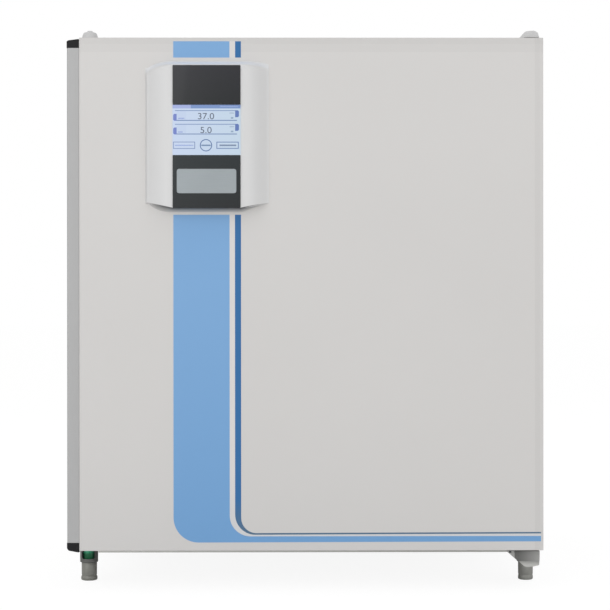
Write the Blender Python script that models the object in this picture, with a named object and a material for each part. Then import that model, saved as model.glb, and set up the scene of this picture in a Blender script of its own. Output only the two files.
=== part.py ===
# Carbon dioxide incubator: an insulated cabinet with a stainless chamber, an inner glass door and a
# thick outer door that carries the control console. Metres, +Z up, the front faces -Y, and the origin
# lies on the floor under the middle of the overall box.
import math

import bmesh
import bpy
from mathutils import Vector

# Cabinet
CASE_WIDTH = 0.773
CASE_HEIGHT = 0.848
CASE_DEPTH = 0.712
CASE_SHEET = 0.0025
FLOOR_CLEARANCE = 0.062
REAR_REACH = 0.022
FRAME_DEPTH = 0.020
FIT_GAP = 0.0003

# Chamber
SIDE_WALL = 0.083
FLOOR_WALL = 0.083
ROOF_WALL = 0.095
BACK_ROOM = 0.129
CHAMBER_CORNER = 0.018
LINER_SHEET = 0.002
INSULATION_THICKNESS = 0.030

# Outer door
DOOR_THICKNESS = 0.060
DOOR_GAP = 0.012
DOOR_TOP_DROP = 0.006
DOOR_BOTTOM_RISE = 0.002
DOOR_SHEET = 0.002
DOOR_EDGE_RADIUS = 0.004
RECESS_DEPTH = 0.038
RECESS_CORNER = 0.010
DOOR_SEAL_WIDTH = 0.025
DOOR_SEAL_MARGIN = 0.0215
RECESS_SIDE_MARGIN = 0.005
RECESS_END_MARGIN = 0.015
DOOR_SEAL_CORNER = 0.030

# Outer door's hinge
HINGE_INSET = 0.015
HINGE_PIN_RADIUS = 0.005
PIN_RUNNING_GAP = 0.00035
BUSH_WALL = 0.0035
BUSH_LENGTH = 0.018
PIN_HEAD_RADIUS = 0.0075
PIN_HEAD_HEIGHT = 0.0027
BRACKET_PLATE = 0.004
BRACKET_INNER = 0.022
BRACKET_OUTER = 0.0135
BRACKET_FRONT = 0.019
UPPER_BRACKET_TAIL = 0.097
LOWER_BRACKET_TAIL = 0.023
LOWER_BRACKET_DROP = 0.0294
LOWER_WEB_REACH = 0.0413
LOWER_SKIRT_CHAMFER = 0.010
CAP_HEIGHT = 0.0058
CAP_CHAMFER = 0.008
CAP_TAIL = 0.028

# Handle strip
HANDLE_OVERHANG = 0.007
HANDLE_WIDTH = 0.020
HANDLE_WALL = 0.0038
HANDLE_LIP = 0.027
HANDLE_FLANGE = 0.044
HANDLE_ROUND = 0.003
HANDLE_CAP_HEIGHT = 0.015
HANDLE_CAP_SLOPE = 0.12
HANDLE_CAP_DROP = 0.0015

# Console
CONSOLE_DEPTH = 0.028
CONSOLE_HALF_WIDTH = 0.099
CONSOLE_INSET = 0.210
CONSOLE_TOP_DROP = 0.0385
CONSOLE_HEIGHT = 0.2415
CONSOLE_EDGE_DEPTH = 0.007
CONSOLE_TOP_FALL = 0.013
CONSOLE_BOTTOM_RISE = 0.008
CONSOLE_TOP_ROUND = 0.016
CONSOLE_BOTTOM_ROUND = 0.004
CONSOLE_UNDERSIDE_DROP = 0.005
CONSOLE_SWELL = 1.6
CONSOLE_WING_STEPS = 5
STRIP_HALF_WIDTH = 0.055
STRIP_THICKNESS = 0.0017
STRIP_TOP_MARGIN = 0.010
COVER_GLASS_HEIGHT = 0.064
SCREEN_HEIGHT = 0.082
LOWER_PLATE_HEIGHT = 0.085

# Inner glass door
GLASS_THICKNESS = 0.005
GLASS_LAP = 0.012
GLASS_HINGE_LAP = 0.0155
CHAMBER_SEAL_OFFSET = 0.0025
CHAMBER_SEAL_WIDTH = 0.007
CHAMBER_SEAL_THICKNESS = 0.0058
GLASS_AXIS_INSET = 0.003
GLASS_AXIS_FORWARD = 0.0048
GLASS_CLAMP_WIDTH = 0.026
GLASS_CLAMP_HEIGHT = 0.034
GLASS_CLAMP_THICKNESS = 0.0096
GLASS_CLAMP_PROUD = 0.0015
GLASS_PIN_RADIUS = 0.003
GLASS_PIN_LENGTH = 0.018
GLASS_BRACKET_PLATE = 0.004
GLASS_BRACKET_GAP = 0.0008
KNOB_RADIUS = 0.012
KNOB_REACH = 0.024
KNOB_EDGE_INSET = 0.022

# Shelves and their side racks
SHELF_LEVELS = 3
SHELF_PITCH = 0.150
SHELF_FIRST_RISE = 0.130
SHELF_FAN_GAP = 0.022
SHELF_SHEET = 0.002
SHELF_LIP = 0.014
SHELF_SIDE_GAP = 0.0015
SHELF_SETBACK = 0.045
SHELF_SLOT = 0.050
SHELF_SLOT_PITCH = 0.070
RACK_SHEET = 0.003
RACK_LEDGE = 0.014
RACK_LEDGE_THICKNESS = 0.003
RACK_TOP_MARGIN = 0.060

# Fan
FAN_DROP = 0.125
FAN_RADIUS = 0.058
FAN_HUB_RADIUS = 0.016
FAN_BLADES = 8
FAN_BLADE_THICKNESS = 0.002
FAN_BLADE_DEPTH = 0.022
FAN_WALL_GAP = 0.010
FAN_SHAFT_RADIUS = 0.004
FAN_SHAFT_GRIP = 0.022
MOTOR_RADIUS = 0.036
MOTOR_LENGTH = 0.046
FAN_COVER_WIDTH = 0.300
FAN_COVER_HEIGHT = 0.210
FAN_COVER_DEPTH = 0.046
FAN_COVER_SHEET = 0.002
FAN_COVER_CORNER = 0.020
FAN_INLET_RADIUS = 0.045

# Fittings
SENSOR_RADIUS = 0.012
SENSOR_LENGTH = 0.036
SENSOR_INSET = 0.1535
SENSOR_FROM_BACK = 0.110
PORT_RADIUS = 0.021
PORT_WALL = 0.003
PORT_INSET = 0.0885
PORT_DROP = 0.125
PORT_PLUG_LENGTH = 0.030
PORT_PLUG_FLANGE = 0.008
PORT_PLUG_FLANGE_LAP = 0.006
PORT_TUBE_REACH = 0.0137
CONTROL_UNIT_INSET = 0.1265
CONTROL_UNIT_HEIGHT = 0.210
CONTROL_UNIT_DEPTH = 0.082
INLET_INSET = 0.1165
INLET_RISE = 0.065
INLET_WIDTH = 0.034
INLET_HEIGHT = 0.062
INLET_DEPTH = 0.012
SOCKET_WIDTH = 0.024
SOCKET_HEIGHT = 0.017
SOCKET_DEPTH = 0.009
SOCKET_RISE = 0.01674
ROCKER_RISE = 0.04588
ROCKER_WIDTH = 0.018
ROCKER_HEIGHT = 0.015
ROCKER_DEPTH = 0.005
ROCKER_END_GAP = 0.0015
ROCKER_TILT_DEG = 8.0
GAS_INSET = 0.2065
GAS_RISE = 0.095
GAS_RADIUS = 0.005
GAS_PITCH = 0.060
GAS_STEPS = 12
PLUNGER_RADIUS = 0.004
PLUNGER_INSET = 0.1865

# Feet and stacking studs
FOOT_SIDE_INSET = 0.0155
FOOT_END_INSET = 0.043
FOOT_BASE_RADIUS = 0.0136
FOOT_STEM_RADIUS = 0.0127
FOOT_BASE_HEIGHT = 0.009
FOOT_NUT_RADIUS = 0.0105
FOOT_NUT_TOP_GAP = 0.002
COLLAR_RADIUS = 0.0152
COLLAR_WALL = 0.0038
COLLAR_DROP = 0.0313
STUD_RADIUS = 0.0132
STUD_TIP_RADIUS = 0.0048
STUD_HEIGHT = 0.0215
STUD_TIP_HEIGHT = 0.0022
STUD_CHAMFER = 0.18

ROUND_STEPS = 24
CORNER_STEPS = 4
BLOCK_FACES = ((0, 1, 2, 3), (4, 5, 6, 7), (0, 1, 5, 4), (1, 2, 6, 5), (2, 3, 7, 6), (3, 0, 4, 7))

# Places worked out from the sizes above
OVERALL_WIDTH = CASE_WIDTH + HANDLE_OVERHANG
OVERALL_DEPTH = CONSOLE_DEPTH + DOOR_THICKNESS + DOOR_GAP + CASE_DEPTH + REAR_REACH
case_left = -OVERALL_WIDTH / 2 + HANDLE_OVERHANG
case_right = case_left + CASE_WIDTH
case_mid = (case_left + case_right) / 2
case_bottom = FLOOR_CLEARANCE
case_top = FLOOR_CLEARANCE + CASE_HEIGHT
console_front = -OVERALL_DEPTH / 2
door_front = console_front + CONSOLE_DEPTH
door_back = door_front + DOOR_THICKNESS
case_front = door_back + DOOR_GAP
case_back = case_front + CASE_DEPTH
rear_end = case_back + REAR_REACH
door_left = -OVERALL_WIDTH / 2 + HANDLE_WIDTH
door_right = case_right
door_bottom = case_bottom + DOOR_BOTTOM_RISE
door_top = case_top - DOOR_TOP_DROP
console_mid = door_left + CONSOLE_INSET
chamber_left = case_left + SIDE_WALL
chamber_right = case_right - SIDE_WALL
chamber_floor = case_bottom + FLOOR_WALL
chamber_ceiling = case_top - ROOF_WALL
chamber_back = case_back - BACK_ROOM
rack_front = case_front + SHELF_SETBACK
rack_back = chamber_back - FAN_COVER_DEPTH - SHELF_FAN_GAP
hinge_x = door_right - HINGE_INSET
hinge_y = door_front + DOOR_THICKNESS / 2
glass_back = case_front - FIT_GAP - CHAMBER_SEAL_THICKNESS - FIT_GAP
glass_front = glass_back - GLASS_THICKNESS
glass_left = chamber_left - GLASS_LAP
glass_right = chamber_right + GLASS_HINGE_LAP
glass_bottom = chamber_floor - GLASS_LAP
glass_top = chamber_ceiling + GLASS_LAP
glass_axis_x = glass_right - GLASS_AXIS_INSET
glass_axis_y = glass_front - FIT_GAP - GLASS_AXIS_FORWARD
fan_z = chamber_ceiling - FAN_DROP


def material(name, colour, roughness, metallic=0.0, alpha=1.0):
    made = bpy.data.materials.new(name)
    made.use_nodes = True
    shader = made.node_tree.nodes["Principled BSDF"]
    shader.inputs["Base Color"].default_value = (*colour, 1.0)
    shader.inputs["Roughness"].default_value = roughness
    shader.inputs["Metallic"].default_value = metallic
    shader.inputs["Alpha"].default_value = alpha
    return made


def finishes():
    return {
        "paint": material("white_paint", (0.62, 0.60, 0.59), 0.45),
        "steel": material("stainless", (0.60, 0.60, 0.58), 0.28, 1.0),
        "grip": material("grip_aluminium", (0.46, 0.46, 0.46), 0.45, 0.3),
        "black": material("black_plastic", (0.02, 0.02, 0.02), 0.4),
        "console": material("console_plastic", (0.60, 0.60, 0.60), 0.5),
        "dark": material("dark_glass", (0.04, 0.04, 0.05), 0.15),
        "screen": material("screen", (0.55, 0.69, 0.87), 0.2),
        "glass": material("clear_glass", (0.85, 0.92, 0.90), 0.05, 0.0, 0.35),
        "seal": material("seal_rubber", (0.16, 0.16, 0.16), 0.7),
        "silicone": material("silicone", (0.70, 0.70, 0.68), 0.6),
        "felt": material("insulation_felt", (0.70, 0.66, 0.55), 0.9),
        "foot": material("foot_metal", (0.15, 0.15, 0.13), 0.45, 0.5),
        "bracket": material("bracket_metal", (0.30, 0.30, 0.29), 0.4, 0.6),
        "brass": material("brass", (0.75, 0.58, 0.28), 0.3, 1.0),
    }


def from_faces(name, points, faces, finish, smooth_angle=None):
    mesh = bpy.data.meshes.new(name)
    mesh.from_pydata(points, [], faces)
    shape = bmesh.new()
    shape.from_mesh(mesh)
    bmesh.ops.recalc_face_normals(shape, faces=shape.faces)
    shape.to_mesh(mesh)
    shape.free()
    if smooth_angle:
        mesh.shade_smooth()
        mesh.set_sharp_from_angle(angle=math.radians(smooth_angle))
    obj = bpy.data.objects.new(name, mesh)
    if finish:
        mesh.materials.append(finish)
    bpy.context.scene.collection.objects.link(obj)
    return obj


def bridged(name, loops, finish, ends=True, smooth_angle=None):
    """Loops of equally many points, joined in order. Without ends, the last loop joins the first."""
    count = len(loops[0])
    points = [p for loop in loops for p in loop]
    faces = []
    for k in range(len(loops) if not ends else len(loops) - 1):
        a = k * count
        b = (k + 1) % len(loops) * count
        for i in range(count):
            j = (i + 1) % count
            faces.append((a + i, a + j, b + j, b + i))
    if ends:
        faces.append(tuple(range(count)))
        faces.append(tuple((len(loops) - 1) * count + i for i in range(count)))
    return from_faces(name, points, faces, finish, smooth_angle)


def box(name, xs, ys, zs, finish=None):
    loops = [[(xs[0], ys[0], z), (xs[1], ys[0], z), (xs[1], ys[1], z), (xs[0], ys[1], z)] for z in zs]
    return bridged(name, loops, finish)


def rectangle(xs, zs, radius):
    """The outline of a rectangle in X and Z, with round corners where the radius isn't 0."""
    if not radius:
        return [(xs[0], zs[0]), (xs[1], zs[0]), (xs[1], zs[1]), (xs[0], zs[1])]
    outline = []
    corners = ((xs[0], zs[0], 180), (xs[1], zs[0], 270), (xs[1], zs[1], 0), (xs[0], zs[1], 90))
    for x, z, start in corners:
        mid_x = x + radius if x == xs[0] else x - radius
        mid_z = z + radius if z == zs[0] else z - radius
        for k in range(CORNER_STEPS + 1):
            angle = math.radians(start + 90 * k / CORNER_STEPS)
            outline.append((mid_x + radius * math.cos(angle), mid_z + radius * math.sin(angle)))
    return outline


def upright(steps, name, finish, ends=True):
    """Rectangles that stand in X and Z, one for each step (xs, zs, corner radius, y), joined along Y."""
    loops = [[(x, y, z) for x, z in rectangle(xs, zs, radius)] for xs, zs, radius, y in steps]
    return bridged(name, loops, finish, ends)


def grown(span, by):
    return (span[0] - by, span[1] + by)


def turned(name, profile, centre, direction, finish, steps=ROUND_STEPS):
    """A shape turned about an axis through centre. The profile holds (radius, distance along it)."""
    along = Vector(direction).normalized()
    side = along.orthogonal().normalized()
    other = along.cross(side)
    start = Vector(centre)
    points, rings = [], []
    for radius, distance in profile:
        if radius == 0:
            rings.append([len(points)])
            points.append(start + along * distance)
            continue
        rings.append(list(range(len(points), len(points) + steps)))
        for k in range(steps):
            angle = 2 * math.pi * k / steps
            spoke = side * math.cos(angle) + other * math.sin(angle)
            points.append(start + along * distance + spoke * radius)
    closed = profile[0][0] != 0
    faces = []
    for k in range(len(rings) if closed else len(rings) - 1):
        low, high = rings[k], rings[(k + 1) % len(rings)]
        for i in range(steps):
            j = (i + 1) % steps
            around = (low[i % len(low)], low[j % len(low)], high[j % len(high)], high[i % len(high)])
            faces.append(tuple(dict.fromkeys(around)))
    return from_faces(name, points, faces, finish, 35)


def rod(name, radius, centre, direction, length, finish=None):
    return turned(name, [(0, 0), (radius, 0), (radius, length), (0, length)], centre, direction, finish)


def extruded(name, outline, place, start, end, finish=None, smooth_angle=None):
    """A flat outline carried from start to end. place(u, v, w) gives a point of space."""
    loops = [[place(u, v, w) for u, v in outline] for w in (start, end)]
    return bridged(name, loops, finish, True, smooth_angle)


def combine(target, tool, operation):
    tool.hide_render = True
    tool.display_type = "WIRE"
    step = target.modifiers.new(operation.lower(), "BOOLEAN")
    step.operation = operation
    step.object = tool
    return target


def cut(target, *tools):
    for tool in tools:
        combine(target, tool, "DIFFERENCE")
    return target


def carried_by(name, pivot, pieces):
    """An empty on a joint's axis, with the pieces that move about it."""
    axis = bpy.data.objects.new(name, None)
    axis.location = pivot
    bpy.context.scene.collection.objects.link(axis)
    for piece in pieces:
        piece.parent = axis
        piece.location = -Vector(pivot)
    return axis


def port_place():
    return chamber_left + PORT_INSET, chamber_ceiling - PORT_DROP


def cabinet(look):
    wide = (case_left, case_right)
    tall = (case_bottom, case_top)
    inside = (grown(wide, -CASE_SHEET), grown(tall, -CASE_SHEET))
    lining = (grown(inside[0], -FIT_GAP), grown(inside[1], -FIT_GAP))
    steps = [(wide, tall, 0, case_front), (wide, tall, 0, case_back), (*inside, 0, case_back),
             (*inside, 0, case_front)]
    upright(steps, "outer_case", look["paint"], ends=False)
    port_x, port_z = port_place()
    bore = PORT_RADIUS + PORT_WALL + FIT_GAP
    panel = box("rear_panel", lining[0], (case_back - CASE_SHEET, case_back), lining[1], look["paint"])
    start = case_back - 2 * CASE_SHEET
    cut(panel, rod("rear_panel_port", bore, (port_x, start, port_z), (0, 1, 0), 4 * CASE_SHEET))
    mouth_x = (chamber_left - LINER_SHEET, chamber_right + LINER_SHEET)
    mouth_z = (chamber_floor - LINER_SHEET, chamber_ceiling + LINER_SHEET)
    corner = CHAMBER_CORNER + LINER_SHEET
    frame_back = case_front + FRAME_DEPTH
    hole = (grown(mouth_x, FIT_GAP), grown(mouth_z, FIT_GAP), corner + FIT_GAP)
    frame = upright([(*lining, corner, case_front), (*lining, corner, frame_back), (*hole, frame_back),
                     (*hole, case_front)], "front_frame", look["paint"], ends=False)
    plunger = (case_left + PLUNGER_INSET, case_front, door_seal_inner()[1][1] - RECESS_END_MARGIN / 2)
    start = (plunger[0], case_front - FRAME_DEPTH, plunger[2])
    cut(frame, rod("plunger_bore", PLUNGER_RADIUS + FIT_GAP, start, (0, 1, 0), 3 * FRAME_DEPTH))
    inner = ((chamber_left, chamber_right), (chamber_floor, chamber_ceiling), CHAMBER_CORNER)
    mouth = (mouth_x, mouth_z, corner)
    liner = upright([(*mouth, chamber_back + LINER_SHEET), (*mouth, case_front), (*inner, case_front),
                     (*inner, chamber_back)], "chamber_liner", look["steel"])
    back = chamber_back + LINER_SHEET + FIT_GAP
    felt = (grown(hole[0], INSULATION_THICKNESS), grown(hole[1], INSULATION_THICKNESS),
            corner + INSULATION_THICKNESS)
    core_start = frame_back + FIT_GAP
    core = upright([(*felt, back + INSULATION_THICKNESS), (*felt, core_start), (*hole, core_start),
                    (*hole, back)], "insulation_core", look["felt"])
    through = chamber_back - INSULATION_THICKNESS
    reach = LINER_SHEET + 3 * INSULATION_THICKNESS
    shaft_bore = FAN_SHAFT_RADIUS + 2 * FIT_GAP
    for piece in (liner, core):
        cut(piece, rod(piece.name + "_port", bore, (port_x, through, port_z), (0, 1, 0), reach),
            rod(piece.name + "_shaft", shaft_bore, (case_mid, through, fan_z), (0, 1, 0), reach))
    seal_x = grown((chamber_left, chamber_right), CHAMBER_SEAL_OFFSET)
    seal_z = grown((chamber_floor, chamber_ceiling), CHAMBER_SEAL_OFFSET)
    around = (grown(seal_x, CHAMBER_SEAL_WIDTH), grown(seal_z, CHAMBER_SEAL_WIDTH))
    seated = case_front - FIT_GAP
    proud = seated - CHAMBER_SEAL_THICKNESS
    upright([(*around, corner + CHAMBER_SEAL_WIDTH, seated), (*around, corner + CHAMBER_SEAL_WIDTH, proud),
             (seal_x, seal_z, corner, proud), (seal_x, seal_z, corner, seated)],
            "chamber_gasket", look["silicone"], ends=False)
    unit_y = case_back - CASE_SHEET - FIT_GAP
    unit_z = case_bottom + CASE_SHEET + FIT_GAP
    box("control_unit", grown(wide, -CONTROL_UNIT_INSET), (unit_y - CONTROL_UNIT_DEPTH, unit_y),
        (unit_z, unit_z + CONTROL_UNIT_HEIGHT), look["bracket"])
    switch = rod("door_switch_plunger", PLUNGER_RADIUS, (plunger[0], door_back + FIT_GAP, plunger[2]),
                 (0, 1, 0), DOOR_GAP + FRAME_DEPTH - 2 * FIT_GAP, look["black"])
    carried_by("door_switch_axis", plunger, [switch])


def door_seal_outer():
    margin = -DOOR_SEAL_MARGIN
    return grown((case_left, case_right), margin), grown((door_bottom, door_top), margin)


def door_seal_inner():
    sides, ends = door_seal_outer()
    return grown(sides, -DOOR_SEAL_WIDTH), grown(ends, -DOOR_SEAL_WIDTH)


def outer_door(look):
    wide, tall = (door_left, door_right), (door_bottom, door_top)
    inside = (grown(wide, -DOOR_SHEET), grown(tall, -DOOR_SHEET))
    lining = (grown(inside[0], -FIT_GAP), grown(inside[1], -FIT_GAP))
    edge = DOOR_EDGE_RADIUS
    brow = edge * (1 - math.sqrt(0.5))
    skin = upright([(*inside, edge, door_front + DOOR_SHEET), (*inside, edge, door_back),
                    (wide, tall, edge, door_back), (wide, tall, edge, door_front + edge),
                    (grown(wide, -brow), grown(tall, -brow), edge, door_front + brow),
                    (grown(wide, -edge), grown(tall, -edge), edge, door_front)],
                   "door_skin", look["paint"])
    bush_radius = HINGE_PIN_RADIUS + PIN_RUNNING_GAP + BUSH_WALL
    cut(skin, rod("door_skin_bore", bush_radius + FIT_GAP, (hinge_x, hinge_y, door_bottom - DOOR_SHEET),
                  (0, 0, 1), door_top - door_bottom + 2 * DOOR_SHEET))
    seal_x, seal_z = door_seal_inner()
    recess_x, recess_z = grown(seal_x, -RECESS_SIDE_MARGIN), grown(seal_z, -RECESS_END_MARGIN)
    floor = door_back - RECESS_DEPTH
    wall = (grown(recess_x, DOOR_SHEET), grown(recess_z, DOOR_SHEET), RECESS_CORNER + DOOR_SHEET)
    recess = (recess_x, recess_z, RECESS_CORNER)
    liner = upright([(*wall, floor - DOOR_SHEET), (*wall, door_back - DOOR_SHEET),
                     (*lining, edge, door_back - DOOR_SHEET), (*lining, edge, door_back),
                     (*recess, door_back), (*recess, floor)], "door_liner", look["paint"])
    foam = upright([(*lining, edge, floor - DOOR_SHEET - FIT_GAP),
                    (*lining, edge, door_front + DOOR_SHEET + FIT_GAP)], "door_insulation", look["felt"])
    outer = (*door_seal_outer(), DOOR_SEAL_CORNER)
    inner = (seal_x, seal_z, DOOR_SEAL_CORNER - DOOR_SEAL_WIDTH / 2)
    seated, pressed = door_back + FIT_GAP, case_front - FIT_GAP
    seal = upright([(*outer, seated), (*outer, pressed), (*inner, pressed), (*inner, seated)],
                   "door_gasket", look["seal"], ends=False)
    bushes = []
    for name, foot in (("hinge_bush_upper", door_top - BUSH_LENGTH), ("hinge_bush_lower", door_bottom)):
        profile = [(bush_radius - BUSH_WALL, 0), (bush_radius, 0), (bush_radius, BUSH_LENGTH),
                   (bush_radius - BUSH_WALL, BUSH_LENGTH)]
        bushes.append(turned(name, profile, (hinge_x, hinge_y, foot), (0, 0, 1), look["brass"]))
    return [skin, liner, foam, seal, *bushes]


def handle(look):
    left, right = -OVERALL_WIDTH / 2, door_left - FIT_GAP
    front = door_front
    bend = [(left + HANDLE_ROUND * (1 - math.sin(a)), front + HANDLE_ROUND * (1 - math.cos(a)))
            for a in (math.pi / 2, math.pi / 4, 0)]
    wall = HANDLE_WALL
    outline = [*bend, (right, front), (right, front + HANDLE_FLANGE), (right - wall, front + HANDLE_FLANGE),
               (right - wall, front + wall), (left + wall, front + wall), (left + wall, front + HANDLE_LIP),
               (left, front + HANDLE_LIP)]
    low = door_bottom + HANDLE_CAP_HEIGHT
    high = door_top - HANDLE_CAP_DROP - HANDLE_CAP_HEIGHT
    grip = extruded("handle_profile", outline, lambda u, v, w: (u, v, w), low, high, look["grip"])
    plan = [*bend, (right, front), (right, front + HANDLE_FLANGE), (left + wall, front + HANDLE_FLANGE),
            (left, front + HANDLE_LIP)]
    caps = []
    for name, seat, end, way in (("upper", high, high + HANDLE_CAP_HEIGHT, 1),
                                 ("lower", low, low - HANDLE_CAP_HEIGHT, -1)):
        seated = [(x, y, seat + way * FIT_GAP) for x, y in plan]
        tip = [(x, y, end - way * HANDLE_CAP_SLOPE * (right - x)) for x, y in plan]
        caps.append(bridged("handle_cap_" + name, [seated, tip][::way], look["black"]))
    return [grip, *caps]


def ease(t):
    t = min(max(t, 0.0), 1.0)
    return t * t * (3 - 2 * t)


def console(look):
    """A bulged housing: its depth falls from the middle strip to the wings, and eases in at both ends."""
    mid = console_mid
    top = door_top - CONSOLE_TOP_DROP
    low = top - CONSOLE_HEIGHT
    plateau = CONSOLE_DEPTH - STRIP_THICKNESS - FIT_GAP
    wing = CONSOLE_HALF_WIDTH - STRIP_HALF_WIDTH
    wings = [STRIP_HALF_WIDTH + wing * k / CONSOLE_WING_STEPS for k in range(CONSOLE_WING_STEPS + 1)]
    across = [-u for u in wings[::-1]] + wings
    below = [CONSOLE_BOTTOM_ROUND * share for share in (0, 0.4, 1)]
    above = [CONSOLE_HEIGHT - CONSOLE_TOP_ROUND * share for share in (1, 0.5, 0.15, 0)]
    seat = door_front - FIT_GAP
    loops = []
    for u in across:
        share = max(0.0, (abs(u) - STRIP_HALF_WIDTH) / wing)
        depth = plateau + (CONSOLE_EDGE_DEPTH - plateau) * share ** CONSOLE_SWELL
        bottom = low + CONSOLE_BOTTOM_RISE * ease(share)
        crown = top - CONSOLE_TOP_FALL * ease(share)
        loop = [(mid + u, seat, bottom - CONSOLE_UNDERSIDE_DROP * (1 - share ** 2))]
        for h in below + above:
            near_end = min(h / CONSOLE_BOTTOM_ROUND, (CONSOLE_HEIGHT - h) / CONSOLE_TOP_ROUND, 1.0)
            swell = depth * (1 + math.sqrt(1 - (1 - near_end) ** 2)) / 2
            loop.append((mid + u, seat - swell, bottom + (crown - bottom) * h / CONSOLE_HEIGHT))
        loops.append(loop + [(mid + u, seat, crown)])
    housing = bridged("console_housing", loops, look["console"], True, 40)
    strip_x = (mid - STRIP_HALF_WIDTH, mid + STRIP_HALF_WIDTH)
    strip_y = (console_front, console_front + STRIP_THICKNESS)
    edge = top - STRIP_TOP_MARGIN
    strips = (("display_cover", COVER_GLASS_HEIGHT, "dark"), ("touchscreen", SCREEN_HEIGHT, "screen"),
              ("lower_plate", LOWER_PLATE_HEIGHT, "dark"))
    plates = []
    for name, height, finish in strips:
        plates.append(box(name, strip_x, strip_y, (edge - height + FIT_GAP, edge), look[finish]))
        edge -= height
    return [housing, *plates]


def hinge_ironwork(look):
    """Brackets on the cabinet hold one pin above and one below the outer door."""
    inner, outer = hinge_x - BRACKET_INNER, hinge_x + BRACKET_OUTER
    front = hinge_y - BRACKET_FRONT
    pin, hole = HINGE_PIN_RADIUS, HINGE_PIN_RADIUS + FIT_GAP
    low = case_top + FIT_GAP
    head = low + BRACKET_PLATE + FIT_GAP
    upper = box("hinge_bracket_upper", (inner, outer), (front, case_front + UPPER_BRACKET_TAIL),
                (low, low + BRACKET_PLATE), look["bracket"])
    cut(upper, rod("upper_bracket_bore", hole, (hinge_x, hinge_y, low - BRACKET_PLATE), (0, 0, 1),
                   3 * BRACKET_PLATE))
    foot = door_top - BUSH_LENGTH
    neck, knob = head - foot, head - foot + PIN_HEAD_HEIGHT
    profile = [(0, 0), (pin, 0), (pin, neck), (PIN_HEAD_RADIUS, neck), (PIN_HEAD_RADIUS, knob), (0, knob)]
    turned("hinge_pin_upper", profile, (hinge_x, hinge_y, foot), (0, 0, 1), look["steel"])
    crown = head + CAP_HEIGHT
    dome = [(inner, head), (outer, head), (outer - CAP_CHAMFER / 4, crown - CAP_HEIGHT / 2),
            (outer - CAP_CHAMFER, crown), (hinge_x - CAP_CHAMFER / 2, crown),
            (inner + CAP_CHAMFER, crown - CAP_HEIGHT / 2)]
    cap = extruded("hinge_cap", dome, lambda u, v, w: (u, w, v), front, hinge_y + CAP_TAIL, look["console"])
    cut(cap, rod("cap_pocket", PIN_HEAD_RADIUS + FIT_GAP, (hinge_x, hinge_y, low), (0, 0, 1),
                 head - low + PIN_HEAD_HEIGHT + FIT_GAP))
    under = case_bottom - FIT_GAP
    sole = under - LOWER_BRACKET_DROP
    chamfer = LOWER_SKIRT_CHAMFER
    skirt = [(hinge_x - LOWER_WEB_REACH, under), (outer, under), (outer - chamfer / 6, sole + chamfer / 3),
             (outer - chamfer, sole), (hinge_x - chamfer, sole), (inner, sole + chamfer),
             (hinge_x - LOWER_WEB_REACH, under - BRACKET_PLATE)]
    tail = case_front + LOWER_BRACKET_TAIL
    lower = extruded("hinge_bracket_lower", skirt, lambda u, v, w: (u, w, v), front, tail, look["bracket"])
    cut(lower, rod("lower_bracket_bore", hole, (hinge_x, hinge_y, sole + BRACKET_PLATE), (0, 0, 1),
                   LOWER_BRACKET_DROP + BRACKET_PLATE))
    foot = sole + BRACKET_PLATE + FIT_GAP
    collar, washer = under + FIT_GAP - foot, door_bottom - FIT_GAP - foot
    reach = door_bottom + BUSH_LENGTH - foot
    profile = [(0, 0), (pin, 0), (pin, collar), (PIN_HEAD_RADIUS, collar), (PIN_HEAD_RADIUS, washer),
               (pin, washer), (pin, reach), (0, reach)]
    turned("hinge_pin_lower", profile, (hinge_x, hinge_y, foot), (0, 0, 1), look["steel"])


def glass_door(look):
    pane = box("glass_pane", (glass_left, glass_right), (glass_front, glass_back),
               (glass_bottom, glass_top), look["glass"])
    pieces = [pane]
    clamp_x = (glass_right + GLASS_CLAMP_PROUD - GLASS_CLAMP_WIDTH, glass_right + GLASS_CLAMP_PROUD)
    clamp_y = (glass_front - FIT_GAP - GLASS_CLAMP_THICKNESS, glass_front - FIT_GAP)
    bore = GLASS_PIN_RADIUS + FIT_GAP
    for name, edge, way in (("upper", glass_top, 1), ("lower", glass_bottom, -1)):
        outer, inner = edge + way * GLASS_CLAMP_PROUD, edge - way * GLASS_CLAMP_HEIGHT
        clamp = box("glass_clamp_" + name, clamp_x, clamp_y, sorted((outer, inner)), look["steel"])
        start = (glass_axis_x, glass_axis_y, outer + way * GLASS_PIN_LENGTH)
        cut(clamp, rod(clamp.name + "_bore", bore, start, (0, 0, -way),
                       2 * GLASS_PIN_LENGTH + GLASS_BRACKET_GAP))
        pieces.append(clamp)
        base = outer + way * GLASS_BRACKET_GAP
        reach = base + way * GLASS_BRACKET_PLATE
        arm = box("glass_hinge_" + name, clamp_x, (clamp_y[0], case_front - FIT_GAP), sorted((base, reach)),
                  look["steel"])
        pin = rod(arm.name + "_pin", GLASS_PIN_RADIUS, (glass_axis_x, glass_axis_y, base + way * FIT_GAP),
                  (0, 0, -way), GLASS_PIN_LENGTH)
        combine(arm, pin, "UNION")
    neck = KNOB_RADIUS * 0.55
    profile = [(0, 0), (neck, 0), (neck, KNOB_REACH * 0.4), (KNOB_RADIUS, KNOB_REACH * 0.6),
               (KNOB_RADIUS, KNOB_REACH * 0.92), (KNOB_RADIUS * 0.9, KNOB_REACH), (0, KNOB_REACH)]
    middle = (glass_bottom + glass_top) / 2
    seat = (glass_left + KNOB_EDGE_INSET, glass_front - FIT_GAP, middle)
    pieces.append(turned("glass_knob", profile, seat, (0, -1, 0), look["black"]))
    carried_by("glass_door_axis", (glass_axis_x, glass_axis_y, middle), pieces)


def shelf_level(index):
    return chamber_floor + SHELF_FIRST_RISE + index * SHELF_PITCH


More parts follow.
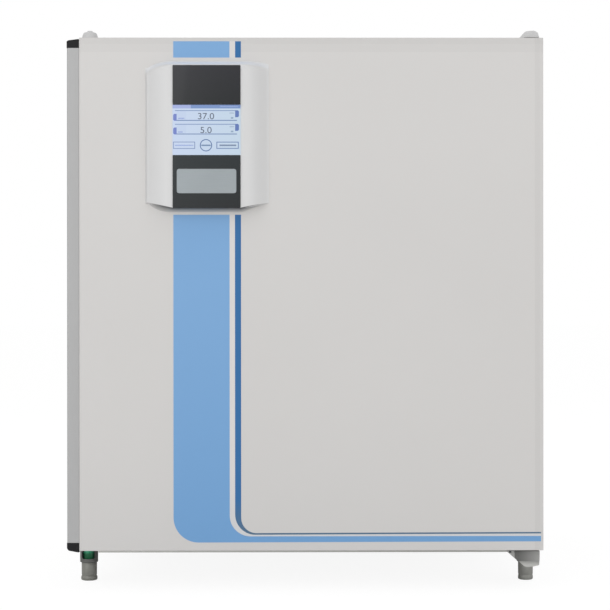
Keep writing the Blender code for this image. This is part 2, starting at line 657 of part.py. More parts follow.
def racks(look):
    """Two comb-shaped side racks stand on the chamber floor, with a ledge for each shelf."""
    top = chamber_ceiling - RACK_TOP_MARGIN
    for name, wall, way in (("left", chamber_left + FIT_GAP, 1), ("right", chamber_right - FIT_GAP, -1)):
        foot = chamber_floor + FIT_GAP
        outline = [(wall, top), (wall, foot + CHAMBER_CORNER), (wall + way * CHAMBER_CORNER, foot),
                   (wall + way * (CHAMBER_CORNER + RACK_SHEET), foot),
                   (wall + way * RACK_SHEET, foot + CHAMBER_CORNER + RACK_SHEET)]
        for index in range(SHELF_LEVELS):
            ledge = shelf_level(index) - FIT_GAP
            outline += [(wall + way * RACK_SHEET, ledge - RACK_LEDGE_THICKNESS),
                        (wall + way * (RACK_SHEET + RACK_LEDGE), ledge - RACK_LEDGE_THICKNESS),
                        (wall + way * (RACK_SHEET + RACK_LEDGE), ledge), (wall + way * RACK_SHEET, ledge)]
        outline.append((wall + way * RACK_SHEET, top))
        extruded("shelf_rack_" + name, outline, lambda u, v, w: (u, w, v), rack_front, rack_back,
                 look["steel"])


def shelves(look):
    side = RACK_SHEET + SHELF_SIDE_GAP + FIT_GAP
    span = (chamber_left + side, chamber_right - side)
    front, back = rack_front + SHELF_SETBACK / 2, rack_back
    columns = int((span[1] - span[0] - 2 * RACK_LEDGE) / SHELF_SLOT_PITCH)
    rows = int((back - front - SHELF_LIP) / SHELF_SLOT_PITCH)
    sheet = SHELF_SHEET
    for index in range(SHELF_LEVELS):
        level = shelf_level(index)
        rim, plate = level + SHELF_LIP, level + sheet
        outline = [(front, level), (back, level), (back, rim), (back - sheet, rim), (back - sheet, plate),
                   (front + sheet, plate), (front + sheet, rim), (front, rim)]
        shelf = extruded(f"shelf_{index + 1}", outline, lambda u, v, w: (w, u, v), *span, look["steel"])
        points, faces = [], []
        for i in range(columns):
            for j in range(rows):
                x = case_mid + (i - (columns - 1) / 2) * SHELF_SLOT_PITCH
                y = (front + back) / 2 + (j - (rows - 1) / 2) * SHELF_SLOT_PITCH
                start = len(points)
                for z in (level - sheet, level + 2 * sheet):
                    for along, across in ((-1, -1), (1, -1), (1, 1), (-1, 1)):
                        points.append((x + along * SHELF_SLOT / 2, y + across * SHELF_SLOT / 2, z))
                faces += [tuple(start + k for k in face) for face in BLOCK_FACES]
        cut(shelf, from_faces(f"shelf_{index + 1}_slots", points, faces, None))
        carried_by(f"shelf_{index + 1}_axis", (case_mid, front, level), [shelf])


def fan(look):
    """The motor sits behind the insulation. The wheel's shaft passes the chamber's back wall into it."""
    behind = chamber_back + LINER_SHEET + INSULATION_THICKNESS + 2 * FIT_GAP
    bore = FAN_SHAFT_RADIUS + FIT_GAP
    bearing = FAN_SHAFT_GRIP + FIT_GAP
    profile = [(0, bearing), (bore, bearing), (bore, 0), (MOTOR_RADIUS, 0), (MOTOR_RADIUS, MOTOR_LENGTH),
               (0, MOTOR_LENGTH)]
    turned("fan_motor", profile, (case_mid, behind, fan_z), (0, 1, 0), look["bracket"])
    wheel_back = chamber_back - FAN_WALL_GAP
    wheel_front = wheel_back - FAN_BLADE_DEPTH
    shaft_end = behind + FAN_SHAFT_GRIP - wheel_front
    profile = [(0, 0), (FAN_HUB_RADIUS, 0), (FAN_HUB_RADIUS, FAN_BLADE_DEPTH),
               (FAN_SHAFT_RADIUS, FAN_BLADE_DEPTH), (FAN_SHAFT_RADIUS, shaft_end), (0, shaft_end)]
    hub = turned("fan_wheel", profile, (case_mid, wheel_front, fan_z), (0, 1, 0), look["bracket"])
    points, faces = [], []
    for k in range(FAN_BLADES):
        angle = 2 * math.pi * k / FAN_BLADES
        out = Vector((math.cos(angle), 0, math.sin(angle)))
        side = Vector((-math.sin(angle), 0, math.cos(angle))) * FAN_BLADE_THICKNESS / 2
        start = len(points)
        for y in (wheel_front + FIT_GAP, wheel_back - FIT_GAP):
            mid = Vector((case_mid, y, fan_z))
            points += [mid + out * FAN_HUB_RADIUS * 0.7 - side, mid + out * FAN_RADIUS - side,
                       mid + out * FAN_RADIUS + side, mid + out * FAN_HUB_RADIUS * 0.7 + side]
        faces += [tuple(start + i for i in face) for face in BLOCK_FACES]
    combine(hub, from_faces("fan_blades", points, faces, None), "UNION")
    carried_by("fan_axis", (case_mid, wheel_front, fan_z), [hub])
    wide = grown((case_mid, case_mid), FAN_COVER_WIDTH / 2)
    tall = grown((fan_z, fan_z), FAN_COVER_HEIGHT / 2)
    sheet = FAN_COVER_SHEET
    front, back = chamber_back - FAN_COVER_DEPTH, chamber_back - FIT_GAP
    hollow = (grown(wide, -sheet), grown(tall, -sheet), FAN_COVER_CORNER - sheet)
    shell = (wide, tall, FAN_COVER_CORNER)
    cover = upright([(*shell, front), (*shell, back), (*hollow, back), (*hollow, front + sheet)],
                    "fan_cover", look["steel"])
    cut(cover, rod("fan_inlet", FAN_INLET_RADIUS, (case_mid, front - sheet, fan_z), (0, 1, 0), 3 * sheet))


def fittings(look):
    root = (chamber_left + SENSOR_INSET, chamber_back - SENSOR_FROM_BACK, chamber_ceiling - FIT_GAP)
    rod("sensor_head", SENSOR_RADIUS, root, (0, 0, -1), SENSOR_LENGTH, look["silicone"])
    port_x, port_z = port_place()
    start, end = chamber_back, case_back + PORT_TUBE_REACH
    inner = PORT_RADIUS
    wall = inner + PORT_WALL
    turned("port_tube", [(inner, 0), (wall, 0), (wall, end - start), (inner, end - start)],
           (port_x, start, port_z), (0, 1, 0), look["silicone"])
    flange = rear_end - PORT_PLUG_FLANGE
    plug = turned("port_plug", [(0, 0), (inner - FIT_GAP, 0), (inner - FIT_GAP, PORT_PLUG_LENGTH),
                                (inner + PORT_PLUG_FLANGE_LAP, PORT_PLUG_LENGTH),
                                (inner + PORT_PLUG_FLANGE_LAP, PORT_PLUG_LENGTH + PORT_PLUG_FLANGE),
                                (0, PORT_PLUG_LENGTH + PORT_PLUG_FLANGE)],
                  (port_x, flange - PORT_PLUG_LENGTH, port_z), (0, 1, 0), look["seal"])
    carried_by("port_plug_axis", (port_x, flange, port_z), [plug])
    mid_x, low = case_right - INLET_INSET, case_bottom + INLET_RISE
    seat = case_back + FIT_GAP
    block = box("mains_inlet", grown((mid_x, mid_x), INLET_WIDTH / 2), (seat, seat + INLET_DEPTH),
                (low, low + INLET_HEIGHT), look["black"])
    socket_z = low + SOCKET_RISE
    rocker_z = low + ROCKER_RISE
    face = seat + INLET_DEPTH
    deep = (face - SOCKET_DEPTH, face + SOCKET_DEPTH)
    cut(block, box("socket_cavity", grown((mid_x, mid_x), SOCKET_WIDTH / 2), deep,
                   grown((socket_z, socket_z), SOCKET_HEIGHT / 2)),
        box("rocker_cavity", grown((mid_x, mid_x), ROCKER_WIDTH / 2 + FIT_GAP), deep,
            grown((rocker_z, rocker_z), ROCKER_HEIGHT / 2 + ROCKER_END_GAP)))
    half = ROCKER_HEIGHT / 2
    outline = [(-half, 0), (0, -ROCKER_DEPTH / 2), (half, 0), (half, ROCKER_DEPTH * 0.6),
               (0, ROCKER_DEPTH * 0.35), (-half, ROCKER_DEPTH * 0.6)]
    tilt = math.radians(ROCKER_TILT_DEG)
    pivot = (mid_x, face - ROCKER_DEPTH / 2, rocker_z)
    along, across = math.cos(tilt), math.sin(tilt)
    turn = [(u * along - v * across, u * across + v * along) for u, v in outline]
    rocker = extruded("switch_rocker", turn, lambda u, v, w: (mid_x + w, pivot[1] + v, pivot[2] + u),
                      -ROCKER_WIDTH / 2, ROCKER_WIDTH / 2, look["black"])
    carried_by("switch_axis", pivot, [rocker])
    for k, gas in enumerate(("gas_inlet", "purge_inlet")):
        barb = GAS_RADIUS
        profile = [(0, 0), (2 * barb, 0), (2 * barb, barb), (barb, barb), (barb, 2 * barb),
                   (1.3 * barb, 2.2 * barb), (barb, 3 * barb), (0.8 * barb, 3 * barb),
                   (0.8 * barb, 3.6 * barb), (0, 3.6 * barb)]
        turned(gas, profile, (case_right - GAS_INSET - k * GAS_PITCH, seat, case_bottom + GAS_RISE),
               (0, 1, 0), look["brass"], GAS_STEPS)


def feet_and_studs(look):
    xs = {"left": case_left + FOOT_SIDE_INSET, "right": case_right - FOOT_SIDE_INSET}
    ys = {"front": case_front + FOOT_END_INSET, "rear": case_back - FOOT_END_INSET}
    wall_in = COLLAR_RADIUS - COLLAR_WALL
    collar_top = case_bottom - FIT_GAP
    stem_top = case_bottom - COLLAR_DROP - FIT_GAP
    notch = FOOT_BASE_HEIGHT / 8
    for end, y in ys.items():
        for side, x in xs.items():
            ring = turned(f"foot_collar_{end}_{side}",
                          [(wall_in, 0), (COLLAR_RADIUS, 0), (COLLAR_RADIUS, COLLAR_DROP - FIT_GAP),
                           (wall_in, COLLAR_DROP - FIT_GAP)],
                          (x, y, collar_top - COLLAR_DROP + FIT_GAP), (0, 0, 1), look["bracket"])
            way = -1 if end == "front" else 1
            mouth_y = sorted((y, y + way * 2 * COLLAR_RADIUS))
            cut(ring, box(ring.name + "_mouth", grown((x, x), wall_in - FIT_GAP), mouth_y,
                          (collar_top - 2 * COLLAR_DROP, collar_top - COLLAR_WALL)))
            base, stem, nut = FOOT_BASE_RADIUS, FOOT_STEM_RADIUS, FOOT_NUT_RADIUS
            nut_top = collar_top - FOOT_NUT_TOP_GAP
            profile = [(0, 0), (base, 0), (base, FOOT_BASE_HEIGHT - 2 * notch),
                       (stem - notch, FOOT_BASE_HEIGHT), (stem, FOOT_BASE_HEIGHT + notch), (stem, stem_top),
                       (nut, stem_top), (nut, nut_top), (0, nut_top)]
            foot = turned(f"foot_{end}_{side}", profile, (x, y, 0), (0, 0, 1), look["foot"])
            carried_by(f"foot_axis_{end}_{side}", (x, y, 0), [foot])
            if (end, side) == ("front", "right"):
                continue
            tip = STUD_HEIGHT + STUD_TIP_HEIGHT
            profile = [(0, 0), (STUD_RADIUS, 0), (STUD_RADIUS, STUD_HEIGHT * (1 - STUD_CHAMFER)),
                       (STUD_RADIUS * (1 - STUD_CHAMFER), STUD_HEIGHT), (STUD_TIP_RADIUS, STUD_HEIGHT),
                       (STUD_TIP_RADIUS, tip), (0, tip)]
            turned(f"stacking_stud_{end}_{side}", profile, (x, y, case_top + FIT_GAP), (0, 0, 1),
                   look["console"])


def main():
    for old in list(bpy.data.objects):
        bpy.data.objects.remove(old, do_unlink=True)
    look = finishes()
    cabinet(look)
    hinge_ironwork(look)
    moving = outer_door(look) + handle(look) + console(look)
    carried_by("outer_door_axis", (hinge_x, hinge_y, (door_bottom + door_top) / 2), moving)
    glass_door(look)
    racks(look)
    shelves(look)
    fan(look)
    fittings(look)
    feet_and_studs(look)


main()
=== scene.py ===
import math

import bmesh
import bpy
import numpy as np
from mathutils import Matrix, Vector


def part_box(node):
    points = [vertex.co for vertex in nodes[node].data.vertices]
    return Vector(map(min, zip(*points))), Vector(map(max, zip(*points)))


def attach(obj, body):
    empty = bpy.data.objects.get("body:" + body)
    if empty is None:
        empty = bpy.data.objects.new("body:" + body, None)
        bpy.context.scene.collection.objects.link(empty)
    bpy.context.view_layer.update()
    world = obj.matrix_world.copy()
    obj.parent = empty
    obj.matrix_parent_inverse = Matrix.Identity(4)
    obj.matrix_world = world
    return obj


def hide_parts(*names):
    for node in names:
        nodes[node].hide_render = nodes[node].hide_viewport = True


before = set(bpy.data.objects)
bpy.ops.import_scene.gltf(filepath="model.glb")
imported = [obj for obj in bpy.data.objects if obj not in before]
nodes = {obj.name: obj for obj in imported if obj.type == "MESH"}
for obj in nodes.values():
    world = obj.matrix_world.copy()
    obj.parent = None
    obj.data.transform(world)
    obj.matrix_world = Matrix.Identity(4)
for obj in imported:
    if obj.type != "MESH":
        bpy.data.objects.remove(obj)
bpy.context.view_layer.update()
axisX, axisY, axisZ = 0, 1, 2
weldGap = 1e-6
leastRadius = 1e-5
smoothAngle = 32  # degrees; sharper edges stay hard
black = (0.0, 0.0, 0.0)


def spanOf(node):
    low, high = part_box(node)
    return np.array(low), np.array(high)


def midOf(node):
    low, high = spanOf(node)
    return (low + high) / 2


def tone(code):  # a web colour as linear light: ((c + 0.055) / 1.055) ** 2.4, or c / 12.92 when dark
    share = np.array([int(code[k:k + 2], 16) / 255 for k in (0, 2, 4)])
    light = np.where(share > 0.04045, ((share + 0.055) / 1.055) ** 2.4, share / 12.92)
    return tuple(float(c) for c in light)


def shaded(code, share):  # a colour dimmed to a share of its light, and the colour itself
    base = tone(code)
    return tuple(c * share for c in base), base


print("shader tools")


class Value:
    # an output socket; maths on it adds the Math nodes that work it out
    def __init__(self, shader, socket):
        self.shader = shader
        self.socket = socket

    def maths(self, operation, *terms):
        return self.shader.node("ShaderNodeMath", {"operation": operation}, dict(enumerate(terms)))

    def __add__(self, other):
        return self.maths("ADD", self, other)

    def __sub__(self, other):
        return self.maths("SUBTRACT", self, other)

    def __rsub__(self, other):
        return self.maths("SUBTRACT", other, self)

    def __mul__(self, other):
        return self.maths("MULTIPLY", self, other)

    def __truediv__(self, other):
        return self.maths("DIVIDE", self, other)

    def __pow__(self, other):
        return self.maths("POWER", self, other)

    def __abs__(self):
        return self.maths("ABSOLUTE", self)

    def __gt__(self, other):
        return self.maths("GREATER_THAN", self, other)

    def __lt__(self, other):
        return self.maths("LESS_THAN", self, other)

    def atLeast(self, other):
        return self.maths("MAXIMUM", self, other)

    def clamped(self, low=0.0, high=1.0):
        return self.maths("MINIMUM", self.atLeast(low), high)

    __radd__ = __add__
    __rmul__ = __mul__


class Shader:
    # one material; node() adds any node, and put() sets its Principled shader
    def __init__(self, name):
        self.material = bpy.data.materials.new(name)
        self.material.use_nodes = True
        self.tree = self.material.node_tree
        self.principled = self.tree.nodes["Principled BSDF"]

    def node(self, kind, settings=None, values=None, output=0):
        made = self.tree.nodes.new(kind)
        for name, setting in (settings or {}).items():
            setattr(made, name, setting)
        for name, value in (values or {}).items():
            self.feed(made.inputs[name], value)
        return Value(self, made.outputs[output])

    def feed(self, socket, value):
        if isinstance(value, Value):
            self.tree.links.new(value.socket, socket)
        elif socket.type == "RGBA":
            socket.default_value = (*value[:3], 1.0)
        else:
            socket.default_value = value

    def put(self, **values):
        for name, value in values.items():
            label = "".join(" " + c if c.isupper() else c for c in name).strip()
            self.feed(self.principled.inputs[label.replace("I O R", "IOR")], value)
        return self.material

    def where(self):
        return self.node("ShaderNodeTexCoord", output=3)

    def along(self, axis):
        return self.node("ShaderNodeSeparateXYZ", values={0: self.where()}, output=axis)

    def stretched(self, stretch):
        return self.node("ShaderNodeVectorMath", {"operation": "MULTIPLY"}, {0: self.where(), 1: stretch})

    def noise(self, size, detail=2.0, stretch=(1, 1, 1)):
        vector = self.stretched(stretch)
        return self.node("ShaderNodeTexNoise", {}, {"Vector": vector, "Scale": 1 / size, "Detail": detail})

    def mix(self, share, first, second):
        return self.node("ShaderNodeMix", {"data_type": "RGBA"}, {0: share, 6: first, 7: second}, 2)

    def bump(self, height, depth):
        return self.node("ShaderNodeBump", {}, {"Height": height, "Distance": depth})


print("finishes")
look = {}

paintLook = {"door": "dcdad8", "cabinet": "dddbd9", "liner": "e2e2e0", "roughness": 0.36, "peelGloss": 0.08,
             "peelSize": 0.0016, "peelDepth": 0.00003, "toneSize": 0.35, "toneShift": 0.025}
# painted shade on the door: the rims' spans, how much darker each is, and the fall towards the foot
doorShadeLook = {"top": (0.8803, 0.8935), "right": (0.3760, 0.3842), "left": (-0.3680, -0.3662),
            "dim": (0.033, 0.031, 0.050, 0.02, 0.030), "fade": 0.05, "fadeTop": 0.9}


def powderCoat(name, colour, paintShade=None):
    # fine peel over a slow drift of the colour; where given, a function of the place works out a share of
    # black, mixed in as painted shade
    shader = Shader(name)
    peel = shader.noise(paintLook["peelSize"], 2.5)
    drift = shader.noise(paintLook["toneSize"], 2.0)
    base = shader.mix(drift, *shaded(colour, 1 - 2 * paintLook["toneShift"]))
    if paintShade:
        base = shader.mix(paintShade(shader.along(axisX), shader.along(axisZ)), base, black)
    return shader.put(BaseColor=base, Roughness=paintLook["roughness"] + paintLook["peelGloss"] * peel,
                      Normal=shader.bump(peel, paintLook["peelDepth"]))


def doorPaintedShade(across, up):
    # painted shade: the door's folded rims are a little darker, and the whole face darkens slightly towards
    # its foot
    low, high = doorShadeLook["top"]
    start, end = doorShadeLook["right"]
    first, last = doorShadeLook["left"]
    dims = doorShadeLook["dim"]
    shadeShare = (up > low) * dims[0] + (up > high) * dims[1] + (across > start) * (across < end) * dims[2]
    shadeShare = shadeShare + (across > end) * dims[3] + (across > first) * (across < last) * dims[4]
    return (shadeShare + (doorShadeLook["fadeTop"] - up) * doorShadeLook["fade"]).clamped()


steelLook = {"bright": "cfcfcb", "dim": "a9a9a5", "streakSize": 0.0006, "streakDepth": 0.000012,
             "smearSize": 0.06, "squeeze": 0.02}


def brushedMetal(name, grain, bright, dim, roughness, metallic=1.0):
    # streaks: noise squeezed along the two axes across the grain, under a smear
    facts = steelLook
    shader = Shader(name)
    squeeze = tuple(facts["squeeze"] if axis == grain else 1.0 for axis in range(3))
    streak = shader.noise(facts["streakSize"], 3.0, squeeze)
    smear = shader.noise(facts["smearSize"], 2.0)
    share = (streak * 0.7 + smear * 0.5 - 0.1).clamped()
    return shader.put(BaseColor=shader.mix(share, tone(dim), tone(bright)), Metallic=metallic,
                      Roughness=(roughness - 0.08 + 0.16 * streak + 0.06 * smear).clamped(0.08, 0.9),
                      Normal=shader.bump(streak, facts["streakDepth"]))


plasticLook = {"grainSize": 0.0007, "driftSize": 0.05, "grainGloss": 0.12}


def mouldedPlastic(name, colour, roughness, shift=0.06, depth=0.00004, gloss=0.5, paintLight=None):
    # spark texture: two sizes of noise, and a slow drift of the colour; where given, a further function
    # draws painted light and shade over it
    shader = Shader(name)
    grain = shader.noise(plasticLook["grainSize"], 3.0)
    drift = shader.noise(plasticLook["driftSize"], 2.0)
    base = shader.mix((grain * 0.5 + drift * 0.5).clamped(), *shaded(colour, 1 - shift))
    if paintLight:
        base = paintLight(shader, base)
    return shader.put(BaseColor=base, SpecularIORLevel=gloss, Normal=shader.bump(grain, depth),
                      Roughness=(roughness + plasticLook["grainGloss"] * (grain - 0.5)).clamped(0.05, 1.0))


# where the console's painted highlight below the crown and painted shadow along the left wing's edge fall
consoleLightLook = {"middle": -0.160, "strip": 0.055, "wing": 0.045, "crown": 0.8655, "fall": 0.005,
             "leftFall": 0.0062, "slope": 0.0048, "blur": 0.003, "highlightFade": 0.85,
             "bright": "e2e8f2", "shadowEnd": -0.2581, "shadowTop": 0.8512, "shadowShare": 0.07}


def consolePaintedLight(shader, base):
    # a painted highlight on the slope below the crown, and a painted shadow line where the left wing meets
    # the door; the crown runs at crown - fall * outward ^ 2.5, where outward goes from 0 at the strip's
    # edges to 1 at the wings' ends
    facts = consoleLightLook
    across, up = shader.along(axisX), shader.along(axisZ)
    outward = ((abs(across - facts["middle"]) - facts["strip"]) / facts["wing"]).clamped()
    fall = facts["fall"] + facts["leftFall"] * (across < facts["middle"])
    under = facts["crown"] - fall * outward ** 2.5 - up
    slope = ((facts["slope"] - abs(under - facts["slope"])) / facts["blur"]).clamped()
    base = shader.mix(slope * (1 - outward * facts["highlightFade"]), base, tone(facts["bright"]))
    seam = (across < facts["shadowEnd"]) * (up < facts["shadowTop"])
    return shader.mix(seam * facts["shadowShare"], base, black)


def castMetal(name, colour, roughness, metallic, grainSize=0.0012, stainSize=0.014):
    shader = Shader(name)
    grain = shader.noise(grainSize, 4.0)
    stain = shader.noise(stainSize, 3.0)
    base = shader.mix((grain * 0.6 + stain * 0.5).clamped(), *shaded(colour, 0.78))
    return shader.put(BaseColor=base, Metallic=metallic, Normal=shader.bump(grain, 0.00004),
                      Roughness=(roughness + 0.2 * (stain - 0.5)).clamped(0.08, 1.0))


def rubberLike(name, colour, roughness, sheen=0.0):
    shader = Shader(name)
    dust = shader.noise(0.0022, 4.0)
    cloud = shader.noise(0.03, 2.0)
    base = tone(colour)
    pale = tuple(min(1.0, c * 1.25 + 0.01) for c in base)
    return shader.put(BaseColor=shader.mix((dust * cloud * 2).clamped(), base, pale), SheenWeight=sheen,
                      Roughness=(roughness + 0.15 * (cloud - 0.5)).clamped(0.1, 1.0),
                      Normal=shader.bump(dust, 0.00003))


def feltLike(name, colour):
    shader = Shader(name)
    fibre = shader.noise(0.0012, 5.0, (1, 0.25, 1))
    clump = shader.noise(0.012, 3.0)
    base = shader.mix((fibre * 0.6 + clump * 0.5).clamped(), *shaded(colour, 0.7))
    return shader.put(BaseColor=base, Roughness=0.95, Normal=shader.bump(fibre, 0.0005))


def glossyPlate(name, top, bottom, roughness, span, coat=0.0, axis=axisZ):
    # a colour that runs from the start of the span to its end, with a faint cloud of dust
    shader = Shader(name)
    start, end = (float(place) for place in span)
    share = ((shader.along(axis) - start) / (end - start)).clamped()
    return shader.put(BaseColor=shader.mix(share, tone(bottom), tone(top)), CoatWeight=coat,
                      Roughness=(roughness + 0.05 * shader.noise(0.004, 4.0)).clamped())


nutLook = {"top": "58ffc4", "bottom": "06683f", "rim": "35443e", "middle": 0.0039, "apart": 0.371,
           "foot": 0.044, "rise": 0.0165, "radius": 0.0112}


def nutPaintedLight(name):
    # green with painted light: a painted highlight at the top that deepens downwards, and painted shade,
    # greyer towards the sides of the nuts that stand apart from a middle
    facts = nutLook
    shader = Shader(name)
    rise = ((shader.along(axisZ) - facts["foot"]) / facts["rise"]).clamped()
    away = abs(abs(shader.along(axisX) - facts["middle"]) - facts["apart"])
    side = (away / facts["radius"]).clamped() ** 2.0
    green = shader.mix(rise, tone(facts["bottom"]), tone(facts["top"]))
    return shader.put(BaseColor=shader.mix(side, green, tone(facts["rim"])), SpecularIORLevel=0.35,
                      Roughness=(0.26 + 0.08 * side).clamped())


def clearGlass(name):
    shader = Shader(name)
    film = shader.noise(0.09, 3.0)
    return shader.put(BaseColor=shader.mix(film, (0.95, 0.985, 0.97), (0.98, 1.0, 0.99)), IOR=1.5,
                      Roughness=(0.015 + 0.02 * film).clamped(), TransmissionWeight=1.0)


# every place and size on the screen is in millimetres from its upper left corner
screenLook = {"wide": 110, "header": 6.5, "tab": 29.5, "rim": 0.8, "rows": (9.4, 31.5), "rowHeight": 17.2,
              "line": 1.3, "thin": 1.1, "button": (60.4, 71.9), "ring": (54.1, 66.2, 9.2, 1.4), "ear": 11.4,
              "earRound": 2.8, "caption": 66.3, "stroke": 0.62, "groundLeft": "c8d7ef",
              "groundRight": "c6d9e9"}


def touchscreenGlow():
    # every mark is a mask, mixed over the ground's colour
    facts = screenLook
    low, high = spanOf("touchscreen")
    shader = Shader("touchscreenGlow")
    u = (shader.along(axisX) - float(low[0])) * 1000
    v = (float(high[2]) - shader.along(axisZ)) * 1000

    def solid(left, right, top, bottom, radius=0.0):
        # 1 inside a round-cornered rectangle: the distance beyond its inner corners is under the radius
        beyondU = (abs(u - (left + right) / 2) - (right - left) / 2 + radius).atLeast(0.0)
        beyondV = (abs(v - (top + bottom) / 2) - (bottom - top) / 2 + radius).atLeast(0.0)
        return (beyondU * beyondU + beyondV * beyondV) < (radius * radius + 1e-6)

    def outlined(left, right, top, bottom, line):
        return solid(left, right, top, bottom) - solid(left + line, right - line, top + line, bottom - line)

    def ring(middleU, middleV, radius, line):
        away = ((u - middleU) ** 2 + (v - middleV) ** 2) ** 0.5
        return abs(away - radius) < line / 2

    def words(left, right, middle, tall, share=0.35):
        # a bar broken into letter-like strokes, drawn where the fraction of u * stroke is over the share
        strokes = (u * facts["stroke"]).maths("FRACT", u * facts["stroke"]) > share
        return solid(left, right, middle - tall / 2, middle + tall / 2) * strokes

    wide, header, line, thin = facts["wide"], facts["header"], facts["line"], facts["thin"]
    colour = shader.mix((u / wide).clamped(), tone(facts["groundLeft"]), tone(facts["groundRight"]))

    def draw(mask, code, share=1.0):
        nonlocal colour
        colour = shader.mix(mask * share, colour, tone(code))

    draw(solid(0, wide, 0, header), "7692c6")
    draw(solid(0, facts["tab"], 0, header), "a3b0e0")
    draw(words(77, 106, 3.4, 1.6, 0.5), "a9bbe4")
    draw(solid(0, wide, 0, facts["rim"]), "30384e")
    ear = facts["ear"]
    for top, label in zip(facts["rows"], (19.0, 16.5)):
        bottom = top + facts["rowHeight"]
        draw(solid(7.0, 22.0, top + line, bottom - line), "b8c9e6", 0.3)
        draw(solid(3.7, 102.7, top, top + line, 0.5), "7d93bf")
        draw(solid(5.0, 104.4, bottom - line - 0.2, bottom, 0.5), "6f88b4")
        for left, right, square, high, code in ((101.4, 107.6, (101.4, 104.4), top, "5d78b6"),
                                                (1.0, 6.6, (3.6, 6.6), bottom - ear, "6f80c6")):
            rounded = solid(left, right, high, high + ear, facts["earRound"])
            draw((rounded + solid(*square, high, high + ear)).clamped(), code)
        draw(words(9.0, label, bottom - 4.0, 1.9), "8093d4")
        draw(words(92.0, 99.5, top + 4.6, 1.7), "8ea4c0")
        draw(words(94.5, 98.5, top + 12.4, 2.6, 0.2), "7d97b4")
    top, bottom = facts["button"]
    draw(outlined(0.9, 36.4, top, bottom, thin), "7288b8")
    draw(outlined(71.0, 107.2, top, bottom, thin * 1.25), "6a83b2")
    draw(ring(*facts["ring"]), "46699e")
    draw(words(3.6, 33.6, facts["caption"], 2.0), "8398d6")
    draw(words(76.0, 103.0, facts["caption"], 2.6, 0.2), "5c7094")
    draw(words(46.4, 62.0, facts["caption"], 2.4, 0.15), "56779f")
    smear = shader.noise(0.02, 3.0)
    return shader.put(BaseColor=(0.02, 0.02, 0.03), EmissionColor=colour, EmissionStrength=0.92,
                      Roughness=(0.12 + 0.06 * smear).clamped())


def makeFinishes():
    # each line: the finish, the material's name, its colours, then what its maker asks for
    steel = steelLook["bright"], steelLook["dim"]
    nodes = ("display_cover", "lower_plate")
    coverSpan, plateSpan = ([end[axisZ] for end in spanOf(node)] for node in nodes)
    recipes = {
        powderCoat: (("doorPaint", "doorPaint", paintLook["door"], doorPaintedShade),
                     ("cabinetPaint", "cabinetPaint", paintLook["cabinet"]),
                     ("linerPaint", "linerPaint", paintLook["liner"])),
        brushedMetal: (("steelX", "steelAlongX", axisX, *steel, 0.26),
                       ("steelY", "steelAlongY", axisY, *steel, 0.24),
                       ("steelZ", "steelAlongZ", axisZ, *steel, 0.24),
                       ("tub", "steelChamber", axisX, "e6e6e3", "cdcdca", 0.3, 0.72),
                       ("grip", "satinGrip", axisZ, "bababa", "aeaeae", 0.42, 0.25),
                       ("badge", "badgeSilver", axisX, "abb2b6", "969ea1", 0.36, 0.55)),
        mouldedPlastic: (("console", "consoleShell", "dedede", 0.42, 0.02, 0.000015, 0.5, consolePaintedLight),
                         ("black", "blackPlastic", "26262a", 0.45, 0.2),
                         ("capBlack", "capBlack", "1d1d1f", 0.5, 0.15, 0.00004, 0.22),
                         ("darkHousing", "darkHousing", "3a3b3e", 0.5, 0.15),
                         ("stud", "studGrey", "d4d4d4", 0.4, 0.08, 0.00002),
                         ("ink", "readoutInk", "5d6579", 0.5, 0.05)),
        # the right-hand feet and collars take lighter copies of the same metals: painted light
        castMetal: (("iron", "bracketIron", "8a8a88", 0.42, 0.35),
                    ("footLeft", "footGrey", "989892", 0.46, 0.3),
                    ("footRight", "footPale", "a4a49f", 0.46, 0.3),
                    ("brass", "brassFitting", "c9a45c", 0.3, 1.0),
                    ("collarLeft", "collarIron", "727270", 0.42, 0.35),
                    ("collarRight", "collarPale", "a2a2a0", 0.42, 0.35)),
        rubberLike: (("rubber", "sealRubber", "3a3a3c", 0.62, 0.1),
                     ("silicone", "siliconeSeal", "cfcfca", 0.5),
                     ("plug", "plugRubber", "55565a", 0.55)),
        glossyPlate: (("coverGlass", "coverGlass", "1e1f26", "0d1317", 0.14, coverSpan, 0.2),
                      ("lowerPlate", "lowerPlateGloss", "172226", "10171a", 0.2, plateSpan, 0.1),
                      ("band", "bandFilm", "7eaddc", "71a4d6", 0.34, (0.077, 0.5)),
                      ("stripe", "stripeFilm", "236ba7", "50708c", 0.34, (0.094, 0.15)),
                      ("gap", "gapFilm", "e0dddb", "d6d6d8", 0.34, (0.094, 0.2)),
                      ("shade", "consoleShade", "d2d1d0", "4e4e4e", 0.7, (-0.415, -0.389), 0.0, axisY),
                      ("hem", "hemShade", "a6a6a1", "c0c0bb", 0.55, (-0.339, 0.2), 0.0, axisX),
                      # painted light and shade on the lower bracket's sheets: the main sheet lighter towards
                      # its right, the web darker towards its right, the skirt lighter upwards
                      ("bracket", "bracketSheet", "a2a2a0", "646462", 0.42, (0.3503, 0.386), 0.0, axisX),
                      ("web", "bracketWeb", "9a9a98", "b0b0ae", 0.42, (0.335, 0.352), 0.0, axisX),
                      ("skirt", "bracketSkirt", "868684", "c0c0bc", 0.4, (0.0385, 0.0470))),
        feltLike: (("felt", "insulationFelt", "cfc6a8"),),
        nutPaintedLight: (("nut", "greenNut"),),
        clearGlass: (("glass", "clearGlass"),)}
    for maker, rows in recipes.items():
        for finish, *facts in rows:
            look[finish] = maker(*facts)
    look["screen"] = touchscreenGlow()


def dress(finish, *names):  # a better material on CAD nodes that keep their shape
    for name in names:
        piece = nodes[name]
        if not piece.material_slots:
            piece.data.materials.append(look[finish])
        for slot in piece.material_slots:
            slot.material = look[finish]


makeFinishes()
print("mesh tools")


